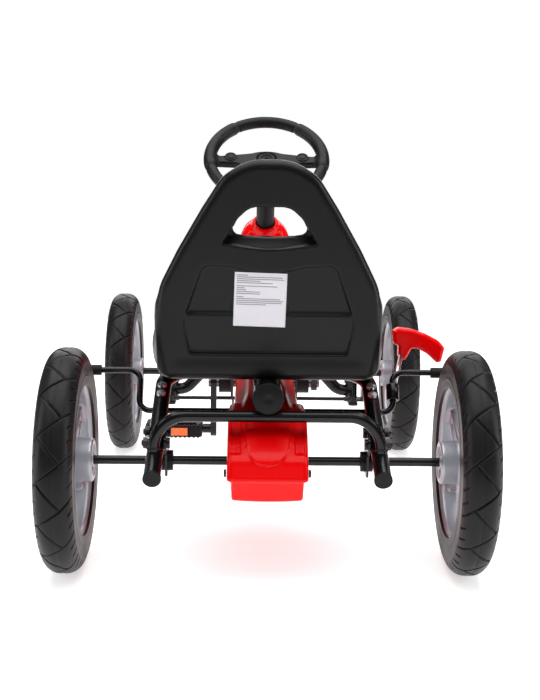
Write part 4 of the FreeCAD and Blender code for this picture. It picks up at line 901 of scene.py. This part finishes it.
def beam_cap():
    """The domed face, with a raised rim, of the plastic cap in the beam's rear end."""
    dome = [(0, 0.01), (0, 18.6), (0.8, 20), (5.4, 20), (6.6, 19), (6.2, 16.6), (6.9, 15.5),
            (7.8, 8), (8.0, 0.01)]
    mesh = lathe("beam_cap_rear", dome, (0, -445, 248), (0, -1, 0), 72)
    add_piece("beam_cap_face", mesh, "frame", FINISHES["black"])


def frame_details():
    welds()
    beam_cap()


# ---- camera, light and floor --------------------------------------------------------------


def camera():
    """The photograph's viewpoint: level with the seat's top, behind the kart."""
    data = bpy.data.cameras.new("camera")
    item = bpy.data.objects.new("camera", data)
    bpy.context.scene.collection.objects.link(item)
    pitch, yaw, roll = 0.14162, 0.016266, 0.01151
    ahead = Vector((math.sin(yaw) * math.cos(pitch), math.cos(yaw) * math.cos(pitch), -math.sin(pitch)))
    right = Vector((math.cos(yaw), -math.sin(yaw), 0))
    above = right.cross(ahead)
    x_axis = right * math.cos(roll) + above * math.sin(roll)
    y_axis = above * math.cos(roll) - right * math.sin(roll)
    turn = Matrix((x_axis, y_axis, -ahead)).transposed()
    item.matrix_world = Matrix.Translation((-0.0234, -1.9726, 0.5279)) @ turn.to_4x4()
    data.lens = 62.75
    data.sensor_width = 36
    data.clip_end = 60
    bpy.context.scene.camera = item


def softbox(name, place, aim, size, power):
    """A large rectangular light, turned to face a point."""
    data = bpy.data.lights.new(name, "AREA")
    data.shape = "RECTANGLE"
    data.size, data.size_y = size
    data.energy = power
    item = bpy.data.objects.new(name, data)
    bpy.context.scene.collection.objects.link(item)
    item.location = place
    item.rotation_euler = (Vector(aim) - Vector(place)).to_track_quat("-Z", "Y").to_euler()


def studio():
    """A pale floor, an even white surround, and large soft lights above and to each side."""
    world = bpy.data.worlds.new("studio")
    bpy.context.scene.world = world
    world.use_nodes = True
    tree = world.node_tree
    light = tree.nodes["Background"]
    light.inputs["Color"].default_value = (1, 1, 1, 1)
    light.inputs["Strength"].default_value = 0.10
    seen = tree.nodes.new("ShaderNodeBackground")
    seen.inputs["Color"].default_value = (1, 1, 1, 1)
    seen.inputs["Strength"].default_value = 1.0
    path = tree.nodes.new("ShaderNodeLightPath")
    mix = tree.nodes.new("ShaderNodeMixShader")
    tree.links.new(path.outputs["Is Camera Ray"], mix.inputs["Fac"])
    tree.links.new(light.outputs[0], mix.inputs[1])
    tree.links.new(seen.outputs[0], mix.inputs[2])
    tree.links.new(mix.outputs[0], tree.nodes["World Output"].inputs["Surface"])
    softbox("overhead", (0, -0.2, 2.6), (0, 0, 0.2), (3.0, 3.2), 92)
    softbox("left_strip", (-2.3, -0.6, 1.0), (0, 0, 0.3), (0.8, 2.4), 24)
    softbox("right_strip", (2.3, -0.6, 1.0), (0, 0, 0.3), (0.8, 2.4), 28)
    softbox("behind_camera", (0.3, -3.2, 1.9), (0, 0, 0.3), (2.2, 1.2), 4)
    softbox("front", (0, 3.0, 1.6), (0, 0, 0.3), (3.0, 1.6), 30)
    bpy.ops.mesh.primitive_plane_add(size=5, location=(0, 0, 0))
    floor = bpy.context.object
    floor.name = "floor"
    finish = Finish("pale_floor", (0.93, 0.93, 0.935), 0.7,
                    Emission_Color=(1, 1, 1, 1), Emission_Strength=0.6)
    finish.mottle(2, 0.01).grain(300, 0.02)
    floor.data.materials.append(finish.material)
    bpy.context.scene.view_settings.view_transform = "Standard"


camera()
studio()
paint_cad_nodes()
seat()
wheels()
body_panels()
controls()
pedals()
frame_details()
